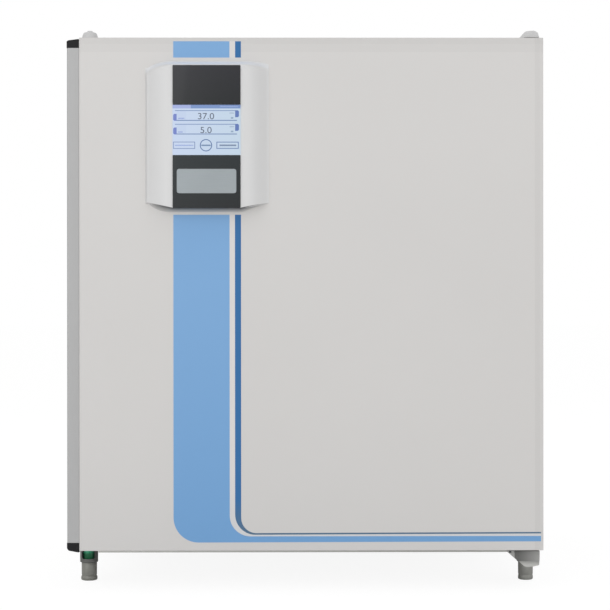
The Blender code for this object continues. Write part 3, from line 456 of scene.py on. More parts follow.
def fromPoints(name, points, faces, finish, smooth=smoothAngle):
    mesh = bpy.data.meshes.new(name)
    mesh.from_pydata(np.asarray(points, float).reshape(-1, 3).tolist(), [], faces)
    work = bmesh.new()
    work.from_mesh(mesh)
    bmesh.ops.remove_doubles(work, verts=work.verts, dist=weldGap)
    bmesh.ops.recalc_face_normals(work, faces=work.faces)
    work.to_mesh(mesh)
    work.free()
    mesh.shade_smooth()
    mesh.set_sharp_from_angle(angle=math.radians(smooth))
    mesh.materials.append(look[finish])
    piece = bpy.data.objects.new(name, mesh)
    bpy.context.scene.collection.objects.link(piece)
    return piece


def fromGrid(name, grid, finish, closeRows=False, smooth=smoothAngle):
    # the cells of a grid whose columns close up, and a flat face over both end rows where they are open
    rows, columns = grid.shape[:2]
    i, j = np.meshgrid(np.arange(rows - (not closeRows)), np.arange(columns), indexing="ij")
    below, right = (i + 1) % rows, (j + 1) % columns
    corners = (i * columns + j, i * columns + right, below * columns + right, below * columns + j)
    faces = np.stack(corners, -1).reshape(-1, 4).tolist()
    if not closeRows:
        faces += [list(range(columns))[::-1], list(range((rows - 1) * columns, rows * columns))]
    return fromPoints(name, grid, faces, finish, smooth)


def roundedLoops(mid, half, radius, steps=8, lean=0.4):
    # mid + (half - radius) towards each corner + radius * (cos a, sin a), with a once round; one more
    # point on the flat at both ends of a corner, lean radii along it, keeps the flats' shading flat
    sweep = np.linspace(0, math.pi / 2, steps + 1)
    slide = np.zeros(steps + 1)
    if lean:
        sweep = np.concatenate([sweep[:1], sweep, sweep[-1:]])
        slide = np.concatenate([[-1], slide, [1]])
    angle = sweep + np.arange(4)[:, None] * math.pi / 2
    mid, half = np.asarray(mid, float).reshape(-1, 1, 1, 2), np.asarray(half, float).reshape(-1, 1, 1, 2)
    radius = np.asarray(radius, float).reshape(-1, 1, 1, 1)
    room = np.maximum(half.min(-1, keepdims=True) - radius, 0)
    slack = np.minimum(lean * radius, room * 0.5) * slide[:, None]
    corner = np.array([[1, 1], [-1, 1], [-1, -1], [1, -1]], float)[:, None]
    circle = np.stack([np.cos(angle), np.sin(angle)], -1)
    tangent = np.stack([-np.sin(angle), np.cos(angle)], -1)
    loops = mid + (half - radius) * corner + radius * circle + slack * tangent
    return loops.reshape(len(loops), -1, 2)


def lofted(name, stages, axis, finish, closeRows=False, steps=8):
    # rounded rectangles joined in order; a stage is (first span, second span, corner radius, place along)
    spans = np.array([(first, second) for first, second, radius, along in stages], float)
    radii = np.array([radius for first, second, radius, along in stages], float)
    half = (spans[..., 1] - spans[..., 0]) / 2
    loops = roundedLoops(spans.mean(-1), half, np.clip(radii, leastRadius, half.min(1)), steps)
    grid = np.empty((*loops.shape[:2], 3))
    grid[..., [k for k in range(3) if k != axis]] = loops
    grid[..., axis] = np.array([along for first, second, radius, along in stages])[:, None]
    return fromGrid(name, grid, finish, closeRows)


def shell(name, low, high, axis, rows, corner, finish, closeRows=False, steps=8):
    # rounded rectangles between two corners of space, one for each row (inset, place along the axis)
    first, second = [(low[k], high[k]) for k in range(3) if k != axis]
    stages = [((first[0] + inset, first[1] - inset), (second[0] + inset, second[1] - inset),
               max(corner - inset, leastRadius), along) for inset, along in rows]
    return lofted(name, stages, axis, finish, closeRows, steps)


def quarter(steps):
    # 1 - cos a and 1 - sin a, with a over a quarter turn
    a = np.linspace(0, math.pi / 2, steps)
    return 1 - np.cos(a), 1 - np.sin(a)


def softEnd(end, way, radius, steps=4):
    # inset r - r sin a, place r - r cos a inwards, between two rows that keep the flats' shading flat
    away, inset = quarter(steps + 1)
    inset = np.concatenate([[radius * 1.5], radius * inset, [0]])
    return np.stack([inset, end + way * np.concatenate([[0], radius * away, [radius * 1.5]])], 1)


def block(name, low, high, finish, axis=axisY, corner=0.002, edge=0.0006, steps=6):
    # a plate or block with round corners, and both ends of its axis rounded over
    rows = np.concatenate([softEnd(low[axis], 1, edge, 3), softEnd(high[axis], -1, edge, 3)[::-1]])
    return shell(name, low, high, axis, rows, corner, finish, steps=steps)


def placed(flat, axis, centre):
    # (across, across, along) points turned so that their third number runs along the axis
    order = {axisX: (2, 0, 1), axisY: (1, 2, 0), axisZ: (0, 1, 2)}[axis]
    return flat[..., order] + np.asarray(centre, float)


def turned(name, profile, centre, axis, finish, steps=48, smooth=smoothAngle, hexRows=()):
    # profile (radius, distance) turned about the axis: (r cos a, r sin a, d); in the rows of hexRows the
    # radius is divided by the cosine of the angle from the nearest flat, which makes a hexagon
    profile = np.array(profile, float)
    angle = np.linspace(0, 2 * math.pi, steps, endpoint=False)
    hexagon = 1 / np.cos((angle + math.pi / 6) % (math.pi / 3) - math.pi / 6)
    spread = np.where(np.isin(np.arange(len(profile)), hexRows)[:, None], hexagon, 1.0)
    flat = np.empty((len(profile), steps, 3))
    flat[..., 0] = profile[:, :1] * spread * np.cos(angle)
    flat[..., 1] = profile[:, :1] * spread * np.sin(angle)
    flat[..., 2] = profile[:, 1:]
    closed = bool(profile[0, 0] > 0 and profile[-1, 0] > 0)
    return fromGrid(name, placed(flat, axis, centre), finish, closed, smooth)


def drill(name, centre, axis, radius, finish, reach=0.02, steps=48):
    # a round cutter that reaches both ways from the centre
    profile = [(0, -reach), (radius, -reach), (radius, reach), (0, reach)]
    return turned(name, profile, centre, axis, finish, steps)


def filleted(points, radii, steps=5):
    # each corner becomes the curve (1-t)^2 start + 2t(1-t) corner + t^2 end, start and end a radius away
    points = np.array(points, float)
    radii = np.broadcast_to(np.asarray(radii, float), len(points))[:, None]
    before, after = np.roll(points, 1, 0) - points, np.roll(points, -1, 0) - points
    room = np.minimum(np.linalg.norm(before, axis=1), np.linalg.norm(after, axis=1))[:, None]
    reach = np.minimum(radii, room * 0.48)
    start = points + before / np.linalg.norm(before, axis=1)[:, None] * reach
    end = points + after / np.linalg.norm(after, axis=1)[:, None] * reach
    t = np.linspace(0, 1, steps + 1)[:, None]
    curve = (1 - t) ** 2 * start[:, None] + 2 * t * (1 - t) * points[:, None] + t ** 2 * end[:, None]
    return curve.reshape(-1, 2)


def carried(name, outline, axis, start, end, finish, edge=0.0):
    # a flat outline carried along an axis; edge rounds both ends with a Bevel modifier
    grid = np.empty((2, len(outline), 3))
    grid[..., [k for k in range(3) if k != axis]] = np.asarray(outline)
    grid[..., axis] = np.array([[start], [end]])
    piece = fromGrid(name, grid, finish)
    if edge:
        step = piece.modifiers.new("edges", "BEVEL")
        step.width = edge
        step.segments = 2
        step.limit_method = "ANGLE"
        step.angle_limit = math.radians(40)
        step.harden_normals = True
    return piece


def swept(name, path, radius, finish, sides=8, closePath=False):
    # a round section carried along a path: point + r (side cos a + up sin a), up square to the path
    path = np.asarray(path, float)
    tangent = np.roll(path, -1, 0) - np.roll(path, 1, 0) if closePath else np.gradient(path, axis=0)
    tangent /= np.linalg.norm(tangent, axis=1)[:, None]
    guide = np.eye(3)[np.argmin(np.abs(tangent).max(0))]
    side = np.cross(tangent, guide)
    side /= np.linalg.norm(side, axis=1)[:, None]
    other = np.cross(tangent, side)
    angle = np.linspace(0, 2 * math.pi, sides, endpoint=False)[None, :, None]
    grid = path[:, None] + radius * (side[:, None] * np.cos(angle) + other[:, None] * np.sin(angle))
    return fromGrid(name, grid, finish, closePath, 60)


def hoop(name, x, y, z, radius, wire, finish):
    # a ring of round wire about the axis Y: (x + r cos t, y, z + r sin t)
    t = np.linspace(0, 2 * math.pi, 64, endpoint=False)
    path = np.stack([x + radius * np.cos(t), np.full(64, y), z + radius * np.sin(t)], 1)
    return swept(name, path, wire, finish, 8, True)


def joined(name, pieces):
    # several closed shapes as one piece, in the first one's finish
    work = bmesh.new()
    for piece in pieces:
        work.from_mesh(piece.data)
    mesh = bpy.data.meshes.new(name)
    work.to_mesh(mesh)
    work.free()
    mesh.materials.append(pieces[0].data.materials[0])
    for piece in pieces:
        bpy.data.objects.remove(piece, do_unlink=True)
    whole = bpy.data.objects.new(name, mesh)
    bpy.context.scene.collection.objects.link(whole)
    return whole


def copied(name, piece, shifts, finish):
    # the same shape at several places, as one piece
    mesh = piece.data
    count = len(mesh.vertices)
    points = np.empty(count * 3)
    mesh.vertices.foreach_get("co", points)
    every = points.reshape(1, -1, 3) + np.asarray(shifts, float)[:, None]
    faces = [[v + k * count for v in face.vertices] for k in range(len(shifts)) for face in mesh.polygons]
    bpy.data.objects.remove(piece, do_unlink=True)
    return fromPoints(name, every, faces, finish)


def carve(piece, *cutters):
    # cuts shapes out of a piece, keeps the result and drops the cutters
    for cutter in cutters:
        step = piece.modifiers.new("carve", "BOOLEAN")
        step.operation = "DIFFERENCE"
        step.object = cutter
    bpy.context.view_layer.update()
    shaped = bpy.data.meshes.new_from_object(piece.evaluated_get(bpy.context.evaluated_depsgraph_get()))
    piece.modifiers.clear()
    piece.data = shaped
    shaped.set_sharp_from_angle(angle=math.radians(smoothAngle))
    for cutter in cutters:
        bpy.data.objects.remove(cutter, do_unlink=True)
    return piece


def holedSheet(name, acrossLines, upLines, hole, low, high, axis, finish, steps=4):
    # a flat sheet on a lattice of lines, from low to high along the axis; every cell inside its border has
    # an oblong hole, half sizes and corner radius in hole, joined to its cell's corners by four flat faces
    us, vs = np.array(acrossLines, float), np.array(upLines, float)
    holed = np.zeros((len(us) - 1, len(vs) - 1), bool)
    holed[1:-1, 1:-1] = True
    levels = np.array([low, high], float)
    lattice = np.stack(np.meshgrid(us, vs, levels, indexing="ij"), -1).reshape(-1, 3)
    key = np.arange(len(lattice)).reshape(len(us), len(vs), 2)
    i, j = np.nonzero(holed)
    centres = np.stack([(us[i] + us[i + 1]) / 2, (vs[j] + vs[j + 1]) / 2], 1)
    ring = roundedLoops((0, 0), hole[:2], hole[2], steps, 0)[0]
    count = len(ring)
    points = np.empty((len(i), 2, count, 3))
    points[..., :2] = centres[:, None, None] + ring
    points[..., 2] = levels[:, None]
    first = len(lattice) + np.arange(len(i) * 2).reshape(-1, 2) * count
    corners = np.stack([key[i + 1, j + 1], key[i, j + 1], key[i, j], key[i + 1, j]], 1)
    faces = []
    for side in range(4):
        reach = (side * (steps + 1) + steps // 2 + np.arange(steps + 2)) % count
        arc = first[:, :, None] + reach[::-1]
        edge = np.stack([corners[:, side], corners[:, (side + 1) % 4]], -1)
        faces += np.concatenate([edge, arc], -1).reshape(-1, steps + 4).tolist()
    k = np.arange(count)
    wall = np.stack([first[:, :1] + k, first[:, :1] + (k + 1) % count, first[:, 1:] + (k + 1) % count,
                     first[:, 1:] + k], -1)
    faces += wall.reshape(-1, 4).tolist()
    i, j = np.nonzero(~holed)
    plain = np.stack([key[i, j], key[i + 1, j], key[i + 1, j + 1], key[i, j + 1]], 1)
    faces += plain.transpose(0, 2, 1).reshape(-1, 4).tolist()
    rim = np.concatenate([key[:-1, 0], key[-1, :-1], key[:0:-1, -1], key[0, :0:-1]])
    after = np.roll(rim, -1, 0)
    faces += np.stack([rim[:, 0], after[:, 0], after[:, 1], rim[:, 1]], 1).tolist()
    flat = np.concatenate([lattice, points.reshape(-1, 3)])
    order = {axisX: (2, 0, 1), axisY: (0, 2, 1), axisZ: (0, 1, 2)}[axis]
    return fromPoints(name, flat[:, order], faces, finish)


def lines(start, end, pitch, margin):
    # evenly spaced lines with a plain margin at both ends
    count = max(1, int((end - start - 2 * margin) / pitch))
    mid = (start + end) / 2
    inner = mid + (np.arange(count + 1) - count / 2) * pitch
    return np.concatenate([[start], inner, [end]])


def place(piece, body, slot, *stands):
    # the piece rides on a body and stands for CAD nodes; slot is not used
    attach(piece, body)
    if stands:
        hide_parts(*stands)
    return piece


# shares of the head's radius and of its rise; the socket's rows are six-sided
headLook = {"rise": 0.55, "socket": (5, 6),
            "profile": [(0, 0), (1, 0), (1, 0.25), (0.9, 0.7), (0.7, 1), (0.45, 1), (0.4, 0.4), (0, 0.4)]}


def screwHeads(name, spots, axis, way, radius, body="cabinet"):
    rise = way * radius * headLook["rise"]
    profile = [(radius * across, rise * up) for across, up in headLook["profile"]]
    head = turned(name + "One", profile, (0, 0, 0), axis, "steelX", 24, hexRows=headLook["socket"])
    place(copied(name, head, spots, "steelX"), body, "stainless")


print("cabinet")
caseLow, caseHigh = spanOf("outer_case")
doorLow, doorHigh = spanOf("door_skin")
middle = (caseLow[0] + caseHigh[0]) / 2

caseLook = {"sheet": 0.0025, "corner": 0.006, "edge": 0.0007, "seamFromFront": 0.034, "seam": 0.0014,
            "seamDepth": 0.0007, "seamSlant": 0.0003, "screw": 0.0034, "screwInset": 0.014,
            "screwRise": 0.03, "sideScrews": (0.08, 0.03)}


def buildCase():
    # the section of a sleeve: its outside with both ends rounded and a seam, then back along its inside
    facts = caseLook
    low, high, depth, slant = caseLow[1], caseHigh[1], facts["seamDepth"], facts["seamSlant"]
    seam = low + facts["seamFromFront"]
    end = seam + facts["seam"]
    groove = [(0, seam), (depth, seam + slant), (depth, end), (0, end + slant)]
    rows = [*softEnd(low, 1, facts["edge"]), *groove, *softEnd(high, -1, facts["edge"])[::-1],
            (facts["sheet"], high), (facts["sheet"], low)]
    case = shell("caseShell", caseLow, caseHigh, axisY, rows, facts["corner"], "cabinetPaint", True)
    place(case, "cabinet", "white_paint", "outer_case")
    dress("cabinetPaint", "rear_panel", "front_frame")
    dress("felt", "insulation_core", "door_insulation")
    dress("darkHousing", "control_unit", "fan_motor")
    ys = np.linspace(low + facts["sideScrews"][0], high - facts["sideScrews"][1], 5)
    z = caseLow[2] + facts["screwRise"]
    for name, x, way in (("Left", caseLow[0], -1), ("Right", caseHigh[0], 1)):
        screwHeads("sideScrews" + name, [(x, y, z) for y in ys], axisX, way, facts["screw"])
    inset = facts["screwInset"]
    xs = np.linspace(caseLow[0] + inset, caseHigh[0] - inset, 5)
    zs = np.linspace(caseLow[2] + inset, caseHigh[2] - inset, 5)
    edges = [(x, high, z) for x in xs for z in (zs[0], zs[-1])]
    edges += [(x, high, z) for x in (xs[0], xs[-1]) for z in zs[1:-1]]
    screwHeads("rearScrews", edges, axisY, 1, facts["screw"])


louvreLook = {"width": 0.062, "height": 0.009, "depth": 0.004, "pitch": 0.018, "rows": 9,
              "columns": (0.10, 0.18), "foot": 0.235, "sunk": 0.0002, "least": 0.0004,
              "endHeight": 0.4, "plateHalf": 0.045, "plateRise": (0.50, 0.555), "plateThick": 0.0006}


def buildLouvres():
    # across t from -1 to 1 the scoop's section shrinks by (1 - t^4)^0.5: a lip, then a curve to the panel
    facts = louvreLook
    rear = caseHigh[1]
    t = np.linspace(-1, 1, 13)
    size = np.sqrt(np.clip(1 - t ** 4, facts["least"], 1))[:, None]
    s = np.linspace(0, math.pi / 2, 5)
    out = np.concatenate([[-facts["sunk"]], facts["depth"] * np.cos(s), [-facts["sunk"]]])
    up = np.concatenate([[0], facts["height"] * np.sin(s), [facts["height"]]])
    grid = np.empty((len(t), len(out), 3))
    grid[..., 0] = t[:, None] * facts["width"] / 2
    grid[..., 1] = rear + np.where(out > 0, out * size, out)
    grid[..., 2] = up * (facts["endHeight"] + (1 - facts["endHeight"]) * size)
    rises = [facts["foot"] + k * facts["pitch"] for k in range(facts["rows"])]
    spots = [(x, 0, z) for x in facts["columns"] for z in rises]
    scoop = fromGrid("louvreOne", grid, "cabinetPaint")
    place(copied("rearLouvres", scoop, spots, "cabinetPaint"), "cabinet", "white_paint")
    half, (foot, top) = facts["plateHalf"], facts["plateRise"]
    plate = (middle - half, rear, foot), (middle + half, rear + facts["plateThick"], top)
    place(block("ratingPlate", *plate, "badge", corner=0.003, edge=0.0002), "cabinet", "stainless")


studLook = {"profile": [(0, 0), (13.0, 0), (13.4, 0.5), (13.6, 8.0), (13.5, 10.2), (12.6, 13.4),
                        (11.5, 16.4), (10.6, 17.6), (8.6, 18.5), (6.3, 19.2), (5.0, 19.6), (4.7, 20.2),
                        (4.4, 20.9), (3.5, 21.4), (0, 21.5)], "frontShift": 0.0022}


def buildStuds():
    # a dome with a small pip on top; the profile is in millimetres, (radius, height)
    profile = [(r / 1000, d / 1000) for r, d in studLook["profile"]]
    for where in ("front_left", "rear_left", "rear_right"):
        node = "stacking_stud_" + where
        x, y, z = midOf(node)
        x += studLook["frontShift"] if where == "front_left" else 0.0
        centre = (x, y, spanOf(node)[0][2])
        stud = turned("stud" + where.title().replace("_", ""), profile, centre, axisZ, "stud", 64, 50)
        place(stud, "cabinet", "console_plastic", node)


buildCase()
buildLouvres()
buildStuds()
print("feet")
# edges hold (inset, rise from their level), and the nut's ends (share of its radius, rise from their level)
footLook = {"notchRise": 0.0085, "base": 0.0138, "stem": 0.0130, "nut": 0.0112, "nutDrop": 0.0022,
            "mouthFoot": 0.0368, "mouthTop": 0.0035, "mouthReach": 0.04, "post": 0.0012, "wall": 0.0034,
            "round": 0.0006, "gap": 0.0003, "shift": {"front_left": 0.0004, "front_right": -0.0004},
            "slim": {"front_right": (0.00112, 0.0004)},
            "soleEdge": [(0.0024, 0), (0.0007, 0.0007), (0, 0.0024)],
            "notchEdge": [(0, -0.0034), (0.0004, -0.0016)], "neckEdge": [(0.0007, 0), (0.0001, 0.0016)],
            "stemEdge": [(0, -0.0012), (0.0008, 0)],
            "nutFoot": [(0, -0.001), (0.92, -0.001), (1, 0.0005), (1, 0.0125)],
            "nutHead": [(1, -0.006), (0.9, -0.004), (0.55, -0.0035), (0.55, 0), (0, 0)]}


def buildCollar(where, centre, low, high):
    # a tube with an open mouth towards the nearer end of the cabinet
    facts = footLook
    outer = (high[0] - low[0]) / 2
    inner, rim = outer - facts["wall"], facts["round"]
    foot, top = low[2], high[2]
    tube = [(inner, foot), (outer - rim, foot), (outer, foot + rim), (outer, top), (inner, top)]
    # the right-hand collars take the lighter copy: painted light
    finish = "collarRight" if "right" in where else "collarLeft"
    collar = turned("collar" + where.title().replace("_", ""), tube, centre, axisZ, finish)
    reach = facts["mouthReach"] * (-1 if where.startswith("front") else 1)
    front, back = sorted((centre[1], centre[1] + reach))
    half = inner - facts["post"]
    mouth = block("mouth", (centre[0] - half, front, facts["mouthFoot"]),
                  (centre[0] + half, back, top - facts["mouthTop"]), "iron", axisY, 0.003)
    place(carve(collar, mouth), "cabinet", "bracket_metal", "foot_collar_" + where)


def buildFeet():
    facts = footLook
    for where in ("front_left", "front_right", "rear_left", "rear_right"):
        label, body = where.title().replace("_", ""), "foot_" + where
        low, high = spanOf("foot_collar_" + where)
        centre = ((low[0] + high[0]) / 2, midOf(body)[1], 0)
        buildCollar(where, centre, low, high)
        slimmer = facts["slim"].get(where, (0, 0))
        base, stem = facts["base"] - slimmer[0], facts["stem"] - slimmer[1]
        notch, top = facts["notchRise"], low[2] - facts["gap"]
        edges = (("soleEdge", base, 0), ("notchEdge", base, notch), ("neckEdge", stem, notch),
                 ("stemEdge", stem, top))
        profile = [(r - inset, level + rise) for name, r, level in edges for inset, rise in facts[name]]
        profile = [(0, 0), *profile, (0, top)]
        spot = (centre[0] + facts["shift"].get(where, 0.0), centre[1], 0)
        # the right-hand feet take the lighter copy: painted light
        finish = "footRight" if "right" in where else "footLeft"
        place(turned("foot" + label, profile, spot, axisZ, finish, 64, 50), body, "foot_metal", body)
        nut, ends = facts["nut"], (("nutFoot", top), ("nutHead", high[2] - facts["nutDrop"]))
        profile = [(nut * share, level + rise) for name, level in ends for share, rise in facts[name]]
        place(turned("footNut" + label, profile, spot, axisZ, "nut"), body, "foot_metal")


buildFeet()
print("rear fittings")
inletLook = {"corner": 0.003, "edge": 0.0012, "deep": 0.009, "screws": 0.0135, "screw": 0.0021,
             "pin": (0.002, 0.0045), "pins": ((-0.007, -0.002), (0, 0.002), (0.007, -0.002)),
             "pinDeep": (0.0092, 0.0015), "socketRise": 0.01674, "socketHalf": 0.012,
             "socketNarrow": 0.0075, "socketTop": 0.0085, "socketBend": 0.004, "bayHalf": 0.0094,
             "bay": (0.0369, 0.0549), "cut": 0.01, "socketRound": 0.0015, "bayRound": 0.001,
             "pinEdge": 0.0004, "rockerHalf": 0.0075, "rockerTilt": 8, "rockerSunk": 0.0025,
             "rockerEdge": 0.0005,
             "rocker": [(-1, 0), (0, -0.0025), (1, 0), (1, 0.003), (0, 0.0017), (-1, 0.003)],
             "rockerRound": [0.0006, 0.001, 0.0006, 0.0008, 0.012, 0.0008]}


def buildInlet():
    facts = inletLook
    low, high = spanOf("mains_inlet")
    mid, face, rise = (low[0] + high[0]) / 2, high[1], (low[2] + high[2]) / 2
    socket, half, bend = low[2] + facts["socketRise"], facts["socketHalf"], facts["socketBend"]
    narrow, top = facts["socketNarrow"], facts["socketTop"]
    body = block("mainsInletBody", low, high, "black", axisY, facts["corner"], facts["edge"])
    outline = [(-half, -top), (half, -top), (half, bend), (narrow, top), (-narrow, top), (-half, bend)]
    outline = filleted([(mid + x, socket + z) for x, z in outline], facts["socketRound"])
    deep = face - facts["deep"], face + facts["cut"]
    cavity = carried("cavity", outline, axisY, *deep, "black")
    half, (foot, top) = facts["bayHalf"], (low[2] + end for end in facts["bay"])
    outline = [(mid - half, foot), (mid + half, foot), (mid + half, top), (mid - half, top)]
    bay = carried("bay", filleted(outline, facts["bayRound"]), axisY, *deep, "black")
    place(carve(body, cavity, bay), "cabinet", "black_plastic", "mains_inlet")
    (wide, tall), edge = facts["pin"], facts["pinEdge"]
    back, tip = (face - sunk for sunk in facts["pinDeep"])
    blades = [block(f"pin{k}", (mid + x - wide / 2, back, socket + z - tall / 2),
                    (mid + x + wide / 2, tip, socket + z + tall / 2), "steelY", axisY, edge, edge)
              for k, (x, z) in enumerate(facts["pins"])]
    place(joined("inletPins", blades), "cabinet", "stainless")
    spots = [(mid + way * facts["screws"], face, rise) for way in (-1, 1)]
    screwHeads("inletScrews", spots, axisY, 1, facts["screw"])


def buildRocker():
    facts = inletLook
    low, high = spanOf("switch_rocker")
    face = spanOf("mains_inlet")[1][1]
    half, tilt = facts["rockerHalf"], math.radians(facts["rockerTilt"])
    outline = filleted([(half * side, out) for side, out in facts["rocker"]], facts["rockerRound"])
    turn = np.array([[math.cos(tilt), math.sin(tilt)], [-math.sin(tilt), math.cos(tilt)]])
    pivot = np.array([face - facts["rockerSunk"], low[2] + (high[2] - low[2]) / 2])
    shape = (outline @ turn)[:, ::-1] + pivot
    paddle = carried("rockerPaddle", shape, axisX, low[0], high[0], "black", facts["rockerEdge"])
    place(paddle, "switch", "black_plastic", "switch_rocker")


# a hexagon nut, a neck, two barbs and a bore, in shares of the spigot's radius: (radius, distance)
spigotLook = {"radius": 0.005, "soft": 0.0006, "nut": [(1.7, 0), (1.82, 0), (1.82, 1), (1.7, 1)],
              "stem": [(1.05, 1), (1, 1.15), (1, 1.9), (1.3, 2.1), (1, 2.6), (1.26, 2.75), (0.96, 3.3),
                       (0.85, 3.6), (0.62, 3.6), (0.58, 3.4), (0.58, 1.5), (0, 1.5)]}


def buildGasPorts():
    r, soft = spigotLook["radius"], spigotLook["soft"]
    drops = (0, soft, -soft, 0)
    nut = [(r * across, r * along + drop) for (across, along), drop in zip(spigotLook["nut"], drops)]
    profile = [(0, 0), *nut, *((r * across, r * along) for across, along in spigotLook["stem"])]
    for gas in ("gas_inlet", "purge_inlet"):
        x, y, z = midOf(gas)
        spigot = turned(gas.split("_")[0] + "Spigot", profile, (x, spanOf(gas)[0][1], z), axisY, "brass",
                        hexRows=(1, 2, 3, 4))
        place(spigot, "cabinet", "brass", gas)


# the stopper's nose and groove hold (inset, distance from its end)
portLook = {"bore": 0.021, "wall": 0.003, "soft": 0.0008, "rim": (0.001, 0.0012), "stopper": 0.0207,
            "nose": [(0.003, 0), (0.001, 0.001), (0, 0.003)],
            "groove": [(0, 0.008), (0.0012, 0.009), (0.0012, 0.0105), (0, 0.0115)], "lip": 0.027,
            "lipThick": 0.008, "lipSoft": 0.0012, "lipRound": 0.002, "dish": 0.014, "dishSlope": 0.0015,
            "gripHalf": (0.010, 0.0016), "gripDeep": 0.0022, "gripEdge": 0.0005}


def buildPort():
    facts = portLook
    low, high = spanOf("port_tube")
    x, y, z = midOf("port_tube")
    r, soft, length = facts["bore"], facts["soft"], high[1] - low[1]
    out, (inset, fall) = r + facts["wall"], facts["rim"]
    profile = [(r, soft), (r + soft, 0), (out - soft, 0), (out, soft), (out, length - fall),
               (out - inset, length), (r + inset, length), (r, length - fall)]
    sleeve = turned("portSleeve", profile, (x, low[1], z), axisY, "silicone", 64)
    place(sleeve, "cabinet", "silicone", "port_tube")
    low, high = spanOf("port_plug")
    length, r, lip, dish = high[1] - low[1], facts["stopper"], facts["lip"], facts["dish"]
    start, soft, bend = length - facts["lipThick"], facts["lipSoft"], facts["lipRound"]
    profile = [(0, 0), *((r - inset, along) for inset, along in (*facts["nose"], *facts["groove"])),
               (r, start), (lip - soft, start), (lip, start + soft), (lip, length - bend),
               (lip - bend, length), (dish, length), (dish - facts["dishSlope"], length - bend),
               (0, length - bend)]
    plug = turned("portStopper", profile, (x, low[1], z), axisY, "plug", 64)
    place(plug, "port_plug", "seal_rubber", "port_plug")
    wide, tall = facts["gripHalf"]
    grip = (x - wide, high[1] - facts["gripDeep"], z - tall), (x + wide, high[1], z + tall)
    place(block("portStopperGrip", *grip, "plug", axisY, tall, facts["gripEdge"]), "port_plug",
          "seal_rubber")


buildInlet()
buildRocker()
buildGasPorts()
buildPort()
print("chamber")
chamberLook = {"wall": 0.002, "corner": 0.020, "cove": 0.016, "lip": 0.0006, "back": 0.004,
               "portHole": 0.0243, "shaftHole": 0.0046, "seal": 0.007, "sealCorner": 0.027}


def buildChamber():
    facts = chamberLook
    low, high = spanOf("chamber_liner")
    wall, cove, back = facts["wall"], facts["cove"], high[1] - facts["wall"]
    fall, rise = quarter(7)
    coved = np.stack([wall + cove * fall, back - cove * rise], 1)
    rows = [*softEnd(high[1], -1, facts["back"]), *softEnd(low[1], 1, facts["lip"], 3)[::-1][:-1],
            (wall, low[1]), (wall, low[1] + 0.002), (wall, back - cove - 0.006), *coved,
            (wall + cove + 0.004, back)]
    liner = shell("chamberTub", low, high, axisY, rows, facts["corner"], "tub")
    drills = [drill(name, (midOf(node)[0], back, midOf(node)[2]), axisY, facts[hole], "tub")
              for name, node, hole in (("portDrill", "port_tube", "portHole"),
                                       ("shaftDrill", "fan_wheel", "shaftHole"))]
    place(carve(liner, *drills), "cabinet", "stainless", "chamber_liner")
    low, high = spanOf("chamber_gasket")
    width = facts["seal"]
    section = filleted([(0, high[1]), (0, low[1]), (width, low[1]), (width, high[1])],
                       [0.0006, 0.003, 0.003, 0.0006])
    seal = shell("chamberSeal", low, high, axisY, section, facts["sealCorner"], "silicone", True)
    place(seal, "cabinet", "silicone", "chamber_gasket")


sensorLook = {"collar": 0.0065, "waist": 0.0008, "ribs": 11, "ribPitch": 0.0018, "ribDeep": 0.0012,
              "ribStart": 0.0085, "nose": [(1, 0.006), (0.92, 0.0025), (0.7, 0.0006), (0, 0)]}


def buildSensor():
    # a collar, a waist, ribs down the sleeve and a nose of (share of radius, rise from the end)
    facts = sensorLook
    low, high = spanOf("sensor_head")
    x, y, z = midOf("sensor_head")
    r, length, waist, collar = (high[0] - low[0]) / 2, high[2] - low[2], facts["waist"], facts["collar"]
    profile = [(0, 0), (r, 0), (r, -0.004), (r - waist, -0.0045), (r - waist, -0.006), (r, -collar)]
    profile += [(r - facts["ribDeep"] * (k % 2), -facts["ribStart"] - facts["ribPitch"] * k)
                for k in range(facts["ribs"])]
    profile += [(r * share, -length + rise) for share, rise in facts["nose"]]
    cap = turned("sensorCap", profile, (x, y, high[2]), axisZ, "silicone")
    place(cap, "cabinet", "silicone", "sensor_head")


fanLook = {"corner": 0.020, "sheet": 0.002, "soft": 0.006, "inlet": 0.045, "slotPitch": 0.016, "slots": 9,
           "slotHalf": 0.003, "slotSpan": (0.014, 0.034), "rings": (0.012, 0.020, 0.028, 0.036, 0.0435),
           "wire": 0.0009, "ringDeep": 0.0004, "spokeDeep": 0.0014, "spoke": 0.0465, "screwInset": 0.012}


